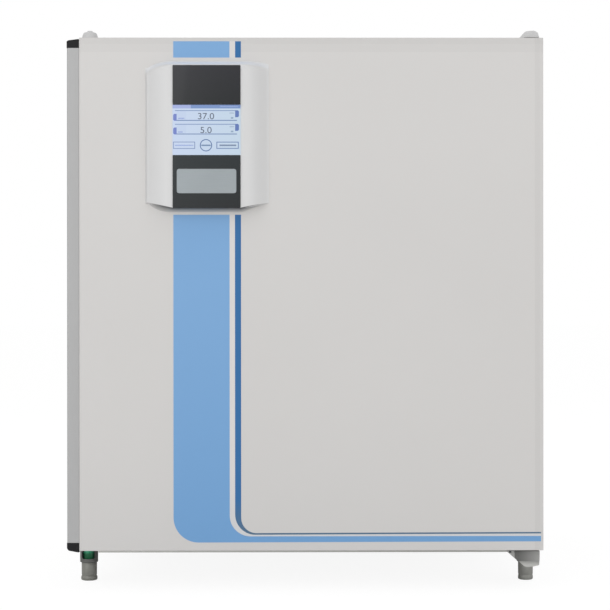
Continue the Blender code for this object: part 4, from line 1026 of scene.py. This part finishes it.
def buildFanCover():
    # an open box with rounded edges: outside and inside are concentric quarter circles
    facts = fanLook
    low, high = spanOf("fan_cover")
    x, y, z = midOf("fan_cover")
    front, sheet, soft = low[1], facts["sheet"], facts["soft"]
    fall, rise = quarter(6)
    outer = np.stack([soft * fall, front + soft * rise], 1)
    bend = soft - sheet
    inner = np.stack([sheet + bend * fall, front + sheet + bend * rise], 1)
    rows = [(soft * 1.5, front + sheet), *inner[::-1], (sheet, high[1]), (0, high[1]),
            (0, front + soft * 1.4), *outer, (soft * 1.5, front)]
    cover = shell("fanCowl", low, high, axisY, rows, facts["corner"], "steelZ")
    inlet = drill("inletDrill", (x, front, z), axisY, facts["inlet"], "steelZ", 0.01, 64)
    start, end = (front + d for d in facts["slotSpan"])
    half = facts["slotHalf"]
    rises = z + (np.arange(facts["slots"]) - facts["slots"] // 2) * facts["slotPitch"]
    slots = [block(f"slot{k}", (low[0] - 0.01, start, s - half), (high[0] + 0.01, end, s + half), "steelZ",
                   axisX, 0.0028) for k, s in enumerate(rises)]
    place(carve(cover, inlet, joined("slots", slots)), "cabinet", "stainless", "fan_cover")
    wires = [hoop(f"ring{k}", x, front + facts["ringDeep"], z, r, facts["wire"], "steelX")
             for k, r in enumerate(facts["rings"])]
    for k in range(3):
        way = np.array([math.cos(k * math.pi / 3), 0, math.sin(k * math.pi / 3)])
        steps = np.linspace(-facts["spoke"], facts["spoke"], 5)[:, None]
        path = np.array([x, front + facts["spokeDeep"], z]) + steps * way
        wires.append(swept(f"spoke{k}", path, facts["wire"], "steelX"))
    place(joined("fanGuard", wires), "cabinet", "stainless")
    inset = facts["screwInset"]
    screwHeads("cowlScrews", [(low[0] + inset, front, z), (high[0] - inset, front, z)], axisY, -1, 0.0042)


wheelLook = {"hub": 0.016, "depth": 0.022, "plate": 0.0024, "shaft": 0.004, "blades": 12, "sweep": 0.75,
             "blade": 0.0007, "ring": 0.955, "ringWire": 0.0013, "ringDeep": 0.0018, "rimGap": 0.0006,
             "hubRound": 0.002, "rimShare": 0.97, "rimDeep": 0.0016, "backDeep": 0.0008,
             "bladeSpan": (0.8, 0.96), "bladeDeep": (0.0008, 0.001)}


def buildFanWheel():
    # blades: angle = 30 degrees times k + sweep * (r - hub) / (rim - hub), a thin sheet along the shaft
    facts = wheelLook
    low, high = spanOf("fan_wheel")
    x, y, z = midOf("fan_wheel")
    front, hub, rim, depth = low[1], facts["hub"], (high[0] - low[0]) / 2 - facts["rimGap"], facts["depth"]
    shaft, reach, bend, inner = facts["shaft"], high[1] - front, facts["hubRound"], rim * facts["rimShare"]
    plate, back = depth - facts["plate"], depth - facts["backDeep"]
    profile = [(0, 0), (hub - bend, 0), (hub, bend), (hub, plate), (inner, plate),
               (rim, depth - facts["rimDeep"]), (inner, back), (hub, back), (shaft, depth), (shaft, reach),
               (0, reach)]
    parts = [turned("wheelHub", profile, (x, front, z), axisY, "darkHousing", 64)]
    r = np.linspace(hub * facts["bladeSpan"][0], rim * facts["bladeSpan"][1], 10)
    start, end = front + facts["bladeDeep"][0], front + depth - facts["bladeDeep"][1]
    for k in range(facts["blades"]):
        a = k * math.pi / 6 + facts["sweep"] * (r - hub) / (rim - hub)
        side = np.stack([np.cos(a), np.sin(a)], 1) * r[:, None]
        across = np.stack([-np.sin(a), np.cos(a)], 1) * facts["blade"]
        outline = np.concatenate([side - across, (side + across)[::-1]]) + (x, z)
        parts.append(carried(f"blade{k}", outline, axisY, start, end, "darkHousing"))
    radius, wire = facts["ring"] * rim, facts["ringWire"]
    parts.append(hoop("wheelRing", x, front + facts["ringDeep"], z, radius, wire, "darkHousing"))
    place(joined("fanRotor", parts), "fan", "bracket_metal", "fan_wheel")


# skirt and ledge hold (distance from the wall, rise) of their outlines
rackLook = {"sheet": 0.0026, "pitch": 0.03, "margin": 0.02, "hole": (0.0075, 0.005, 0.005), "foot": 0.022,
            "skirt": [(0, 0.0215), (0.003, 0.0215), (0.021, 0.003), (0.021, 0), (0.018, 0)],
            "ledge": [(0.002, 0), (0.002, -0.008), (0.0034, -0.008), (0.0036, -0.0026), (0.0172, -0.0026),
                      (0.0172, 0)], "shelfGap": 0.0003}


def buildRacks():
    facts = rackLook
    for side, way in (("left", 1), ("right", -1)):
        low, high = spanOf("shelf_rack_" + side)
        wall = low[0] if way > 0 else high[0]
        faces = sorted((wall, wall + way * facts["sheet"]))
        ys = lines(low[1], high[1], facts["pitch"], facts["margin"])
        zs = lines(low[2] + facts["foot"], high[2], facts["pitch"], facts["margin"])
        parts = [holedSheet("sheet", ys, zs, facts["hole"], *faces, axisX, "steelY")]
        rails = [("skirt", low[2], 0.0012)]
        rails += [("ledge", spanOf(f"shelf_{k}")[0][2] - facts["shelfGap"], 0.001) for k in (1, 2, 3)]
        for name, foot, soft in rails:
            shape = filleted([(wall + way * out, foot + up) for out, up in facts[name]], soft, 3)
            parts.append(carried(name, shape, axisY, low[1], high[1], "steelY", 0.0004))
        place(joined("rack" + side.title(), parts), "cabinet", "stainless", "shelf_rack_" + side)


shelfLook = {"sheet": 0.0016, "pitch": 0.024, "hole": (0.0055, 0.0055, 0.0055), "hem": 0.00336,
             "hemDrop": 0.004, "side": 0.0006, "end": 0.0012, "margin": (0.022, 0.018), "lap": 0.006,
             "soft": [0.0012, 0.0001, 0.0001, 0.0006, 0.0006, 0.0004, 0.0014, 0.0014]}


def buildShelves():
    # a sheet of holes with a turned-up lip at both ends
    facts = shelfLook
    for k in (1, 2, 3):
        node = f"shelf_{k}"
        low, high = spanOf(node)
        sheet, hem, lap, foot, top = facts["sheet"], facts["hem"], facts["lap"], low[2], high[2]
        xs = lines(low[0] + facts["side"], high[0] - facts["side"], facts["pitch"], facts["margin"][0])
        ys = lines(low[1] + facts["end"], high[1] - facts["end"], facts["pitch"], facts["margin"][1])
        parts = [holedSheet("plate", xs, ys, facts["hole"], foot, foot + sheet, axisZ, "steelX")]
        for end, y, way in (("front", low[1], 1), ("back", high[1], -1)):
            lip = [(0, foot), (lap, foot), (lap, foot + sheet), (sheet, foot + sheet), (sheet, top - 0.0045),
                   (hem, top - facts["hemDrop"]), (hem, top), (0, top)]
            shape = filleted([(y + way * out, z) for out, z in lip], facts["soft"], 4)
            parts.append(carried(end, shape, axisX, low[0], high[0], "steelX", 0.0003))
        place(joined(f"tray{k}", parts), node, "stainless", node)


buildChamber()
buildSensor()
buildFanCover()
buildFanWheel()
buildRacks()
buildShelves()
print("glass door")
glassLook = {"corner": 0.006, "edge": 0.0007, "clampScrews": (-0.009, 0.009), "clampShift": 0.004,
             "arm": 0.004, "pin": (0.3195, -0.3335), "pinRadius": 0.003, "pinReach": 0.0175,
             "pinSeat": 0.001,
             "knob": [(0, 0), (0.0076, 0), (0.0076, 0.0012), (0.0062, 0.0016), (0.0058, 0.004),
                      (0.0062, 0.009)],
             "knobRim": [(0.86, 0.0125), (1, 0.0155), (1, 0.0195), (0.93, 0.0222)]}


def buildGlassDoor():
    facts = glassLook
    pane = block("glassPanel", *spanOf("glass_pane"), "glass", axisY, facts["corner"], facts["edge"], 8)
    place(pane, "glass_door", "clear_glass", "glass_pane")
    for end, way in (("upper", 1), ("lower", -1)):
        node, label = "glass_clamp_" + end, end.title()
        low, high = spanOf(node)
        x, y, z = midOf(node)
        clamp = block("glassClamp" + label, low, high, "steelZ", axisY, 0.003, 0.0012)
        place(clamp, "glass_door", "stainless", node)
        spots = [(x - facts["clampShift"], low[1], z + s) for s in facts["clampScrews"]]
        screwHeads("clampScrews" + label, spots, axisY, -1, 0.0029, "glass_door")
        node = "glass_hinge_" + end
        low, high = spanOf(node)
        plate = [(low[2], low[2] + facts["arm"]), (high[2] - facts["arm"], high[2])][way > 0]
        arm = block("glassArm" + label, (low[0], low[1], plate[0]), (high[0], high[1], plate[1]), "steelY",
                    axisZ, 0.004, 0.0008)
        r, reach, seat = facts["pinRadius"], facts["pinReach"], facts["pinSeat"]
        profile = [(0, -reach), (r - 0.0003, -reach), (r, -reach + 0.001), (r, seat), (0, seat)]
        profile = [(across, way * along) for across, along in profile]
        pin = turned("pin", profile, (*facts["pin"], plate[way < 0]), axisZ, "steelY")
        place(joined("glassHinge" + label, [arm, pin]), "cabinet", "stainless", node)
    low, high = spanOf("glass_knob")
    x, y, z = midOf("glass_knob")
    r, reach = (high[0] - low[0]) / 2, high[1] - low[1]
    profile = [*facts["knob"], *((r * share, out) for share, out in facts["knobRim"]),
               (r * 0.8, reach - 0.0004), (r * 0.6, reach), (0, reach - 0.0006)]
    profile = [(across, -out) for across, out in profile]
    knob = turned("glassKnob", profile, (x, high[1], z), axisY, "black", 64)
    place(knob, "glass_door", "black_plastic", "glass_knob")


buildGlassDoor()
print("outer door")
doorLook = {"sheet": 0.0018, "corner": 0.0012, "edge": 0.0010, "backEdge": 0.0008, "pinHole": 0.0092}


def buildDoor():
    facts = doorLook
    low, high, wall, edge = doorLow, doorHigh, facts["sheet"], facts["edge"]
    inside = low[1] + wall
    rows = [*softEnd(low[1], 1, edge, 5), *softEnd(high[1], -1, facts["backEdge"], 3)[::-1][:-1],
            (wall, high[1]), (wall, inside + edge), (wall + edge * 0.3, inside + edge * 0.3),
            (wall + edge, inside)]
    skin = shell("doorShell", low, high, axisY, rows, facts["corner"], "doorPaint")
    x, y, z = midOf("hinge_bush_upper")
    drills = [drill(name, (x, y, rise), axisZ, facts["pinHole"], "doorPaint")
              for name, rise in (("upperDrill", high[2]), ("lowerDrill", low[2]))]
    place(carve(skin, *drills), "outer_door", "white_paint", "door_skin")
    dress("brass", "hinge_bush_upper", "hinge_bush_lower")
    dress("steelZ", "hinge_pin_upper", "hinge_pin_lower")


linerLook = {"inset": (0.030, 0.040), "deep": 0.038, "sheet": 0.002, "corner": 0.010, "outerCorner": 0.0036,
             "mouth": 0.004, "foot": 0.006, "edge": 0.0004}


def buildDoorLiner():
    # from the panel's rim, over the rolled mouth of the recess, down its wall to its floor
    facts = linerLook
    low, high = spanOf("door_liner")
    seal = spanOf("door_gasket")
    insets = zip((axisX, axisZ), facts["inset"])
    spans = [(seal[0][axis] + inset, seal[1][axis] - inset) for axis, inset in insets]
    face, sheet, corner, edge = high[1], facts["sheet"], facts["corner"], facts["edge"]
    floor, mouth, foot = face - facts["deep"], facts["mouth"], facts["foot"]

    def stage(by, radius, y):
        return *((start - by, end + by) for start, end in spans), radius, y

    def rim(by, radius, y):
        return (low[0] + by, high[0] - by), (low[2] + by, high[2] - by), radius, y

    turns = list(zip(*quarter(5)))
    roll = [stage(mouth * rise, corner + mouth * rise, face - mouth * fall) for fall, rise in turns]
    cove = [stage(-foot * fall, corner, floor + foot * rise) for fall, rise in turns]
    outer = facts["outerCorner"]
    stages = [stage(sheet - mouth, 0.012, floor - sheet), stage(sheet, 0.012, floor - sheet + 0.003),
              stage(sheet, 0.012, face - sheet), rim(0, outer, face - sheet), rim(0, outer, face - edge),
              rim(edge, outer - 0.0002, face), stage(0.007, 0.016, face), *roll,
              stage(0, corner, face - 0.006), stage(0, corner, floor + 0.008), *cove,
              stage(-0.009, corner, floor)]
    place(lofted("doorPan", stages, axisY, "linerPaint"), "outer_door", "white_paint", "door_liner")


# seat and back hold (inset, rise from the seat, rounding), lip holds (inset, drop from the pressed face)
sealLook = {"corner": 0.030, "seat": [(0, 0, 0.0004), (0, 0.002, 0.0006), (0.0035, 0.003, 0.0012)],
            "lip": [(0.0048, 0.0022), (0.0065, 0), (0.0185, 0), (0.0202, 0.0022)], "lipRound": 0.0012,
            "back": [(0.0205, 0.0035, 0.0012), (0.025, 0.002, 0.0006), (0.025, 0, 0.0004)]}


def buildDoorSeal():
    # the gasket's section: from its seat up to the pressed lip and back
    facts = sealLook
    low, high = spanOf("door_gasket")
    section = [(inset, low[1] + rise, soft) for inset, rise, soft in facts["seat"]]
    section += [(inset, high[1] - drop, facts["lipRound"]) for inset, drop in facts["lip"]]
    section += [(inset, low[1] + rise, soft) for inset, rise, soft in facts["back"]]
    section = np.array(section)
    rows = filleted(section[:, :2], section[:, 2], 3)
    seal = shell("doorSeal", low, high, axisY, rows, facts["corner"], "rubber", True)
    place(seal, "outer_door", "seal_rubber", "door_gasket")
    node = "door_switch_plunger"
    low, high = spanOf(node)
    x, y, z = midOf(node)
    reach, r = high[1] - low[1], (high[0] - low[0]) / 2
    profile = [(0, 0), (r * 0.6, 0.0003), (r * 0.9, 0.0012), (r, 0.0026), (r, reach - 0.0006),
               (r * 0.85, reach), (0, reach)]
    plunger = turned("doorPlunger", profile, (x, low[1], z), axisY, "black")
    place(plunger, "door_switch", "black_plastic", node)


gripLook = {"wall": 0.0038, "lip": 0.027, "flange": 0.044, "proud": 0.0002, "nose": 0.0034,
            "overhang": 0.0006, "slope": 0.10, "lift": {1: -0.0006, -1: 0.0026},
            "cornerDrop": {1: 0.0016, -1: 0.0040}, "seatDrop": {1: 0.0006, -1: 0.0016},
            "dome": (0.0016, 0.0012, 0.07),
            "stripRound": [0.0006, 0.001, 0.001, 0.0015, 0.0015, 0.0012, 0.0012],
            "capRound": [0.0016, 0.0016, 0.003, 0.003]}


def buildGrip():
    # the strip's open section, carried up the door's edge
    facts = gripLook
    low, high = spanOf("handle_profile")
    left, right, front, wall = low[0], high[0], low[1], facts["wall"]
    lip, flange, proud = front + facts["lip"], front + facts["flange"], right + facts["proud"]
    outline = [(left, front), (proud, front), (proud, flange), (right - wall, flange),
               (right - wall, front + wall), (left + wall, front + wall), (left + wall, lip), (left, lip)]
    shape = filleted(outline, [facts["nose"], *facts["stripRound"]], 6)
    foot, top = low[2] - facts["seatDrop"][-1], high[2] - facts["seatDrop"][1]
    strip = carried("gripStrip", shape, axisZ, foot, top, "grip", 0.0002)
    place(strip, "outer_door", "grip_aluminium", "handle_profile")
    side = left - facts["overhang"]
    plan = filleted([(side, front), (right, front), (right, flange), (left + wall, flange), (side, lip)],
                    [facts["nose"], *facts["capRound"]], 6)
    for end, way in (("upper", 1), ("lower", -1)):
        buildGripCap("handle_cap_" + end, "gripCap" + end.title(), way, plan, left, right)


def buildGripCap(node, name, way, plan, left, right):
    # the end slopes down towards the left by slope * (right - x) + drop * ((right - x) / width) ^ 7
    facts = gripLook
    low, high = spanOf(node)
    seat, tip = (low[2], high[2])[::way]
    tip += way * facts["lift"][way]
    seat -= facts["seatDrop"][way]
    flat, dome, narrowing = facts["dome"]
    sizes = [(1, seat), (1, tip - way * flat)]
    sizes += [(1 - narrowing * fall, tip - way * dome * rise) for fall, rise in zip(*quarter(5))]
    centre = plan.mean(0)
    grid = np.empty((len(sizes), len(plan), 3))
    for row, (size, z) in enumerate(sizes):
        grid[row, :, :2] = centre + (plan - centre) * size
        away = right - grid[row, :, 0]
        slope = facts["slope"] * away + facts["cornerDrop"][way] * (away / (right - left)).clip(0, 1) ** 7
        grid[row, :, 2] = z - way * slope * (abs(z - seat) > 0.001)
    place(fromGrid(name, grid, "capBlack", smooth=50), "outer_door", "black_plastic", node)


hemLook = {"drop": 0.0028, "left": -0.339, "right": 0.3303, "depth": (0.0016, 0.0122), "sunk": 0.0004}


def buildHem():
    # a strip under the door's foot, with painted shade that darkens towards the right
    facts = hemLook
    front, back = (doorLow[1] + d for d in facts["depth"])
    strip = block("doorHem", (facts["left"], front, doorLow[2] - facts["drop"]),
                  (facts["right"], back, doorLow[2] + facts["sunk"]), "hem", axisX, 0.0006, 0.0004)
    place(strip, "outer_door", "white_paint")


buildDoor()
buildDoorLiner()
buildDoorSeal()
buildGrip()
buildHem()
print("bands")
# the last four hold the rise of a quarter turn's foot, of the film's end, and the turn's radius
bandLook = {"film": 0.00012, "sunk": 0.0002, "bandLeft": -0.2159, "bandRight": -0.1239,
            "stripeLeft": -0.1151, "stripeTopLeft": -0.1147, "stripeRight": -0.1052,
            "upper": (0.8712, 0.8979), "lowerTop": 0.6141, "end": 0.3859,
            "bandFoot": (0.0777, 0.0789, 0.041), "bandRise": (0.0877, 0.0877, 0.034),
            "stripeFoot": (0.0903, 0.0918, 0.033), "stripeRise": (0.0930, 0.0942, 0.025)}


def filmPiece(name, outline, finish):
    # thin film on the door's face
    front = doorLow[1]
    film = carried(name, outline, axisY, front - bandLook["film"], front + bandLook["sunk"], finish)
    place(film, "outer_door", "white_paint")


def turnedPath(left, foot, end, radius):
    # down a straight edge, round a quarter circle of the radius, then along to the end, rising a little
    fall, rise = quarter(17)
    arc = np.stack([left + radius * fall, foot + radius * rise], 1)
    return np.concatenate([[(left, bandLook["lowerTop"])], arc, [(bandLook["end"], end)]])


def buildBands():
    facts = bandLook
    low, high = facts["upper"]
    for name, left, right, finish in (("bandTop", facts["bandLeft"], facts["bandRight"], "band"),
                                      ("stripeTop", facts["stripeTopLeft"], facts["stripeRight"], "stripe"),
                                      ("gapTop", facts["bandRight"], facts["stripeTopLeft"], "gap")):
        filmPiece(name, [(left, low), (right, low), (right, high), (left, high)], finish)
    edges = [turnedPath(facts[side], *facts[turn])
             for side, turn in (("bandLeft", "bandFoot"), ("bandRight", "bandRise"),
                                ("stripeLeft", "stripeFoot"), ("stripeRight", "stripeRise"))]
    for k, name in enumerate(("band", "gap", "stripe")):
        filmPiece(name + "Sweep", np.concatenate([edges[k], edges[k + 1][::-1]]), name)


buildBands()
print("console")
# half, edge, shoulder, draft and topFall give the left wing's value first
consoleLook = {"strip": 0.055, "half": (0.0986, 0.0999), "edge": (0.0048, 0.0003),
               "shoulder": (0.0015, 0.0002), "draft": (0.0028, 0.0004), "topFall": (0.0112, 0.005),
               "topRound": (0.0105, 0.014), "footRise": 0.0041, "bottomRise": 0.0096, "bottomRound": 0.0024,
               "backDrop": 0.0007, "backRise": 0.0156, "swell": 2.0, "skin": 0.0007, "meet": 0.87,
               "sole": (0.985, 0.0004, 0.0006)}


def consoleWing(side):
    # one side of the housing from the strip's edge outwards: reach, depth, foot, crown, back and rounding;
    # the depth falls by share ^ swell on the left, and by 1 - (1 - share ^ 2.4) ^ 1.35 on the right
    facts = consoleLook
    low, high = spanOf("console_housing")
    plateau, left = high[1] - low[1], side < 0
    half, edge, shoulder, draft, topFall = (facts[name][0 if left else 1]
                                            for name in ("half", "edge", "shoulder", "draft", "topFall"))
    share = np.concatenate([np.linspace(0, 1, 21), np.ones(6)])
    a = np.linspace(0, math.pi / 2, 6)[1:]
    reach = facts["strip"] + (half - shoulder - facts["strip"]) * share
    bend = share ** facts["swell"] if left else 1 - (1 - share ** 2.4) ** 1.35
    depth = plateau + (edge - plateau) * bend
    reach[21:26] += shoulder * np.sin(a)
    depth[21:26] -= np.minimum(shoulder * (1 - np.cos(a)), edge * 0.4)
    reach[26:] = reach[25] + draft
    depth[26:] = 0.0001
    foot = low[2] + facts["footRise"] + facts["bottomRise"] * share
    crown = high[2] - topFall * share ** 2.5
    bow = 0.98 * share ** 2.9 if left else 0.92 * (share / facts["meet"]) ** 1.15
    back = low[2] - facts["backDrop"] + facts["backRise"] * bow
    rounding = facts["topRound"][0] + (facts["topRound"][1] - facts["topRound"][0]) * share
    wing = np.stack([side * reach, depth, foot, crown, np.minimum(back, foot), rounding], 1)
    return wing[::-1] if left else wing


def buildConsole():
    # up the housing: a fillet at the foot, a flat face, then h h (3 - 2 h) down to the door
    facts = consoleLook
    low, high = spanOf("console_housing")
    mid, seat = (low[0] + high[0]) / 2, high[1]
    across, depth, foot, crown, back, rounding = np.concatenate([consoleWing(-1), consoleWing(1)]).T
    b = np.linspace(0, math.pi / 2, 5)
    t = np.linspace(0, 1, 15)
    rise = np.concatenate([facts["bottomRound"] * (1 - np.cos(b)), [facts["bottomRound"] * 1.6]])
    fall = np.concatenate([[1.15], 1 - t])
    swell = np.concatenate([0.9 + 0.1 * np.sin(b), [1, 1], 0.02 + 0.98 * (1 - t * t * (3 - 2 * t))])
    heights = np.concatenate([foot[:, None] + rise, crown[:, None] - rounding[:, None] * fall], 1)
    grid = np.empty((len(across), heights.shape[1] + 2, 3))
    grid[..., 0] = mid + across[:, None]
    grid[:, 1:-1, 1] = seat - depth[:, None] * swell
    grid[:, 1:-1, 2] = heights
    grid[:, [0, -1], 1] = seat
    grid[:, 0, 2] = back + facts["skin"]
    grid[:, -1, 2] = crown
    shape = fromGrid("consoleShell", grid, "console", smooth=38)
    place(shape, "outer_door", "console_plastic", "console_housing")
    # the sole: a thin skin under the housing, with painted shade darkest at its front edge
    reach, lift, thick = facts["sole"]
    lip = seat - depth * reach
    sole = np.empty((len(across), 4, 3))
    sole[..., 0] = mid + across[:, None]
    loop = [(lip, foot + lift), (seat, back), (seat, back + thick), (lip, foot + lift + thick)]
    for k, (y, z) in enumerate(loop):
        sole[:, k, 1], sole[:, k, 2] = y, z
    place(fromGrid("consoleSole", sole, "shade"), "outer_door", "console_plastic")


stripLook = {"badgeHalf": 0.0483, "badgeTop": 0.0224, "badgeTall": 0.0396, "badge": (0.0007, 0.0004),
             "plateDrop": 0.0010, "digits": {"readoutUpper": ("37.0", 0.0411, 0.0139, 0.0262, 0.0102),
                                             "readoutLower": ("5.0", 0.0451, 0.0364, 0.0182, 0.0102)},
             "ink": 0.00012}


def buildStrip():
    facts = stripLook
    for name, finish, node, slot, drop, corner, edge in (
            ("coverPanel", "coverGlass", "display_cover", "dark_glass", 0, 0.0012, 0.0003),
            ("screenPanel", "screen", "touchscreen", "screen", 0, 0.0004, 0.0002),
            ("lowerPanel", "lowerPlate", "lower_plate", "dark_glass", facts["plateDrop"], 0.0012, 0.0003)):
        low, high = spanOf(node)
        panel = block(name, (low[0], low[1], low[2] - drop), high, finish, axisY, corner, edge)
        place(panel, "outer_door", slot, node)
    mid, half, top = (low[0] + high[0]) / 2, facts["badgeHalf"], high[2] - facts["badgeTop"]
    proud, sunk = facts["badge"]
    badge = (mid - half, low[1] - proud, top - facts["badgeTall"]), (mid + half, low[1] + sunk, top)
    place(block("badgePlate", *badge, "badge", axisY, 0.004, 0.0003), "outer_door", "grip_aluminium")


def buildDigits(name, figures, across, down, wide, tall):
    # the readout's figures as a thin raised shape, stretched to the wanted size
    curve = bpy.data.curves.new(name, "FONT")
    curve.body = figures
    curve.extrude = 0.5
    holder = bpy.data.objects.new(name + "Curve", curve)
    bpy.context.scene.collection.objects.link(holder)
    bpy.context.view_layer.update()
    mesh = bpy.data.meshes.new_from_object(holder.evaluated_get(bpy.context.evaluated_depsgraph_get()))
    bpy.data.objects.remove(holder, do_unlink=True)
    points = np.empty(len(mesh.vertices) * 3)
    mesh.vertices.foreach_get("co", points)
    points = points.reshape(-1, 3)
    low, high = points.min(0), points.max(0)
    share = (points - low) / (high - low)
    faces = [list(face.vertices) for face in mesh.polygons]
    low, high = spanOf("touchscreen")
    left, top = low[0] + across, high[2] - down
    flat = np.stack([left + share[:, 0] * wide, low[1] - stripLook["ink"] * share[:, 2],
                     top - tall + share[:, 1] * tall], 1)
    place(fromPoints(name, flat, faces, "ink", 30), "outer_door", "screen")


buildConsole()
buildStrip()
for name, facts in stripLook["digits"].items():
    buildDigits(name, *facts)
print("ironwork")
hoodLook = {"outline": [(0.3508, 0.9043), (0.3541, 0.9073), (0.3600, 0.9142), (0.3640, 0.9160),
                        (0.3765, 0.9169), (0.3824, 0.9132), (0.3829, 0.9103), (0.3844, 0.9058),
                        (0.3600, 0.9058), (0.3594, 0.9043)],
            "round": [0.0003, 0.002, 0.003, 0.003, 0.002, 0.0016, 0.0008, 0.0005, 0.0003, 0.0003],
            "span": (-0.381, -0.331), "plate": (0.3635, 0.3832), "plateFront": 0.001,
            "screws": (0.361, 0.375), "screwDeep": (0.02, 0.06)}


def buildUpperBracket():
    facts = hoodLook
    outline = filleted(facts["outline"], facts["round"], 5)
    hood = carried("hingeHood", outline, axisY, *facts["span"], "stud", 0.0012)
    place(hood, "cabinet", "console_plastic", "hinge_cap")
    low, high = spanOf("hinge_bracket_upper")
    left, right = facts["plate"]
    plate = block("upperBracket", (left, low[1] + facts["plateFront"], low[2]), (right, high[1], high[2]),
                  "iron", axisZ, 0.004, 0.0008)
    place(plate, "cabinet", "bracket_metal", "hinge_bracket_upper")
    spots = [(x, high[1] - deep, high[2]) for x in facts["screws"] for deep in facts["screwDeep"]]
    screwHeads("bracketScrews", spots, axisZ, 1, 0.0044)


# sheets hold: name, finish, set back at the front and at the rear, edge, steps, roundings, outline
lowerLook = {"main": ("lowerBracket", "bracket", 0, 0, 0.0008, 4, 0.0008,
                      [(0.3438, 0.0617), (0.3853, 0.0617), (0.3850, 0.0448), (0.3495, 0.0448),
                       (0.3438, 0.0498)]),
             "web": ("lowerWeb", "web", 0.0004, 0, 0.0006, 4, 0.0006,
                     [(0.3308, 0.0608), (0.3308, 0.0617), (0.3495, 0.0617), (0.3495, 0.0450)]),
             "skirt": ("lowerSkirt", "skirt", 0.0008, 0.004, 0.0022, 5,
                       [0.0006, 0.0006, 0.0006, 0.004, 0.004, 0.004],
                       [(0.3495, 0.0470), (0.3850, 0.0470), (0.3845, 0.0380), (0.3727, 0.0354),
                        (0.3614, 0.0350), (0.3537, 0.0411)]),
             "slots": (0.3368, 0.3454), "slotHalf": 0.0018, "slotRise": (0.0587, 0.0614),
             "slotDeep": (0.0001, 0.004)}


def lowerSheet(part, *stands):
    name, finish, front, back, edge, steps, soft, outline = lowerLook[part]
    low, high = spanOf("hinge_bracket_lower")
    shape = filleted(outline, soft, steps)
    sheet = carried(name, shape, axisY, low[1] + front, high[1] - back, finish, edge)
    place(sheet, "cabinet", "bracket_metal", *stands)


def buildLowerBracket():
    facts = lowerLook
    lowerSheet("main", "hinge_bracket_lower")
    lowerSheet("web")
    # black blocks in the slots stand for the shade inside them: painted shade
    half, (foot, top) = facts["slotHalf"], facts["slotRise"]
    front, back = (spanOf("hinge_bracket_lower")[0][1] + deep for deep in facts["slotDeep"])
    slots = [block(f"slot{k}", (x - half, front, foot), (x + half, back, top), "black", axisY, 0.0006,
                   0.0002) for k, x in enumerate(facts["slots"])]
    place(joined("bracketSlotShade", slots), "cabinet", "black_plastic")
    lowerSheet("skirt")


buildUpperBracket()
buildLowerBracket()
print("stage")
roomLook = {"floor": (-30, 30, -12, 40), "glow": 1.08, "share": 0.84, "dull": (0.9, 0.9, 0.9),
            "worldLit": 0.62, "worldSeen": 1.0,
            "lamps": {"keyLamp": ((-2.1, -3.7, 1.55), (0, 0, 0.45), 3.8, 44),
                      "fillLamp": ((2.6, -3.7, 1.0), (0, 0, 0.45), 3.4, 28.5),
                      "topLamp": ((0.0, 0.4, 4.2), (0, 0, 0.4), 3.0, 16)}}


def makeFloor():
    # a white floor that glows for most rays from the camera, so only a soft shadow shows on it
    facts = roomLook
    shader = Shader("paleFloor")
    glow = shader.node("ShaderNodeEmission", {}, {"Color": (1, 1, 1), "Strength": facts["glow"]})
    dull = shader.node("ShaderNodeBsdfDiffuse", {}, {"Color": facts["dull"]})
    share = shader.node("ShaderNodeLightPath") * facts["share"]
    shown = shader.node("ShaderNodeMixShader", {}, {0: share, 1: dull, 2: glow})
    shader.feed(shader.tree.nodes["Material Output"].inputs["Surface"], shown)
    look["paleFloor"] = shader.material
    left, right, front, back = facts["floor"]
    corners = [(left, front, 0), (right, front, 0), (right, back, 0), (left, back, 0)]
    return fromPoints("paleFloor", corners, [(0, 1, 2, 3)], "paleFloor")


def makeWorld():
    # dimmer as light than it looks to the camera, straight or through glass
    world = bpy.data.worlds.new("paleRoom")
    bpy.context.scene.world = world
    world.use_nodes = True
    tree = world.node_tree
    path = tree.nodes.new("ShaderNodeLightPath")
    seen = tree.nodes.new("ShaderNodeMath")
    seen.operation = "ADD"
    seen.use_clamp = True
    tree.links.new(path.outputs["Is Camera Ray"], seen.inputs[0])
    tree.links.new(path.outputs["Is Transmission Ray"], seen.inputs[1])
    power = tree.nodes.new("ShaderNodeMapRange")
    power.inputs["To Min"].default_value = roomLook["worldLit"]
    power.inputs["To Max"].default_value = roomLook["worldSeen"]
    tree.links.new(seen.outputs[0], power.inputs["Value"])
    tree.links.new(power.outputs["Result"], tree.nodes["Background"].inputs["Strength"])
    tree.nodes["Background"].inputs["Color"].default_value = (1, 1, 1, 1)


def makeLamp(name, spot, aim, size, power):
    # a square lamp turned from its spot towards its aim
    data = bpy.data.lights.new(name, "AREA")
    data.size = size
    data.energy = power
    lamp = bpy.data.objects.new(name, data)
    lamp.location = spot
    x, y, z = np.array(spot) - np.array(aim)
    lamp.rotation_euler = (math.atan2(math.hypot(x, y), z), 0, math.atan2(x, -y))
    bpy.context.scene.collection.objects.link(lamp)
    return lamp


# the turn and the shift follow the photo's slight keystone
cameraLook = {"lens": 108.16, "sensor": 36, "shift": (-0.0213, 0.0038), "place": (0, -3.389, 0.4658),
              "pitch": -0.0011, "roll": 0.00064, "turn": -0.0069}


def makeCamera():
    facts = cameraLook
    data = bpy.data.cameras.new("frontCamera")
    data.sensor_width = facts["sensor"]
    data.lens = facts["lens"]
    data.shift_x, data.shift_y = facts["shift"]
    camera = bpy.data.objects.new("frontCamera", data)
    camera.location = facts["place"]
    camera.rotation_euler = (math.pi / 2 + facts["pitch"], facts["roll"], facts["turn"])
    bpy.context.scene.collection.objects.link(camera)
    bpy.context.scene.camera = camera


floor = makeFloor()
makeWorld()
lamps = [makeLamp(name, *facts) for name, facts in roomLook["lamps"].items()]
makeCamera()
bpy.context.scene.view_settings.view_transform = "Standard"
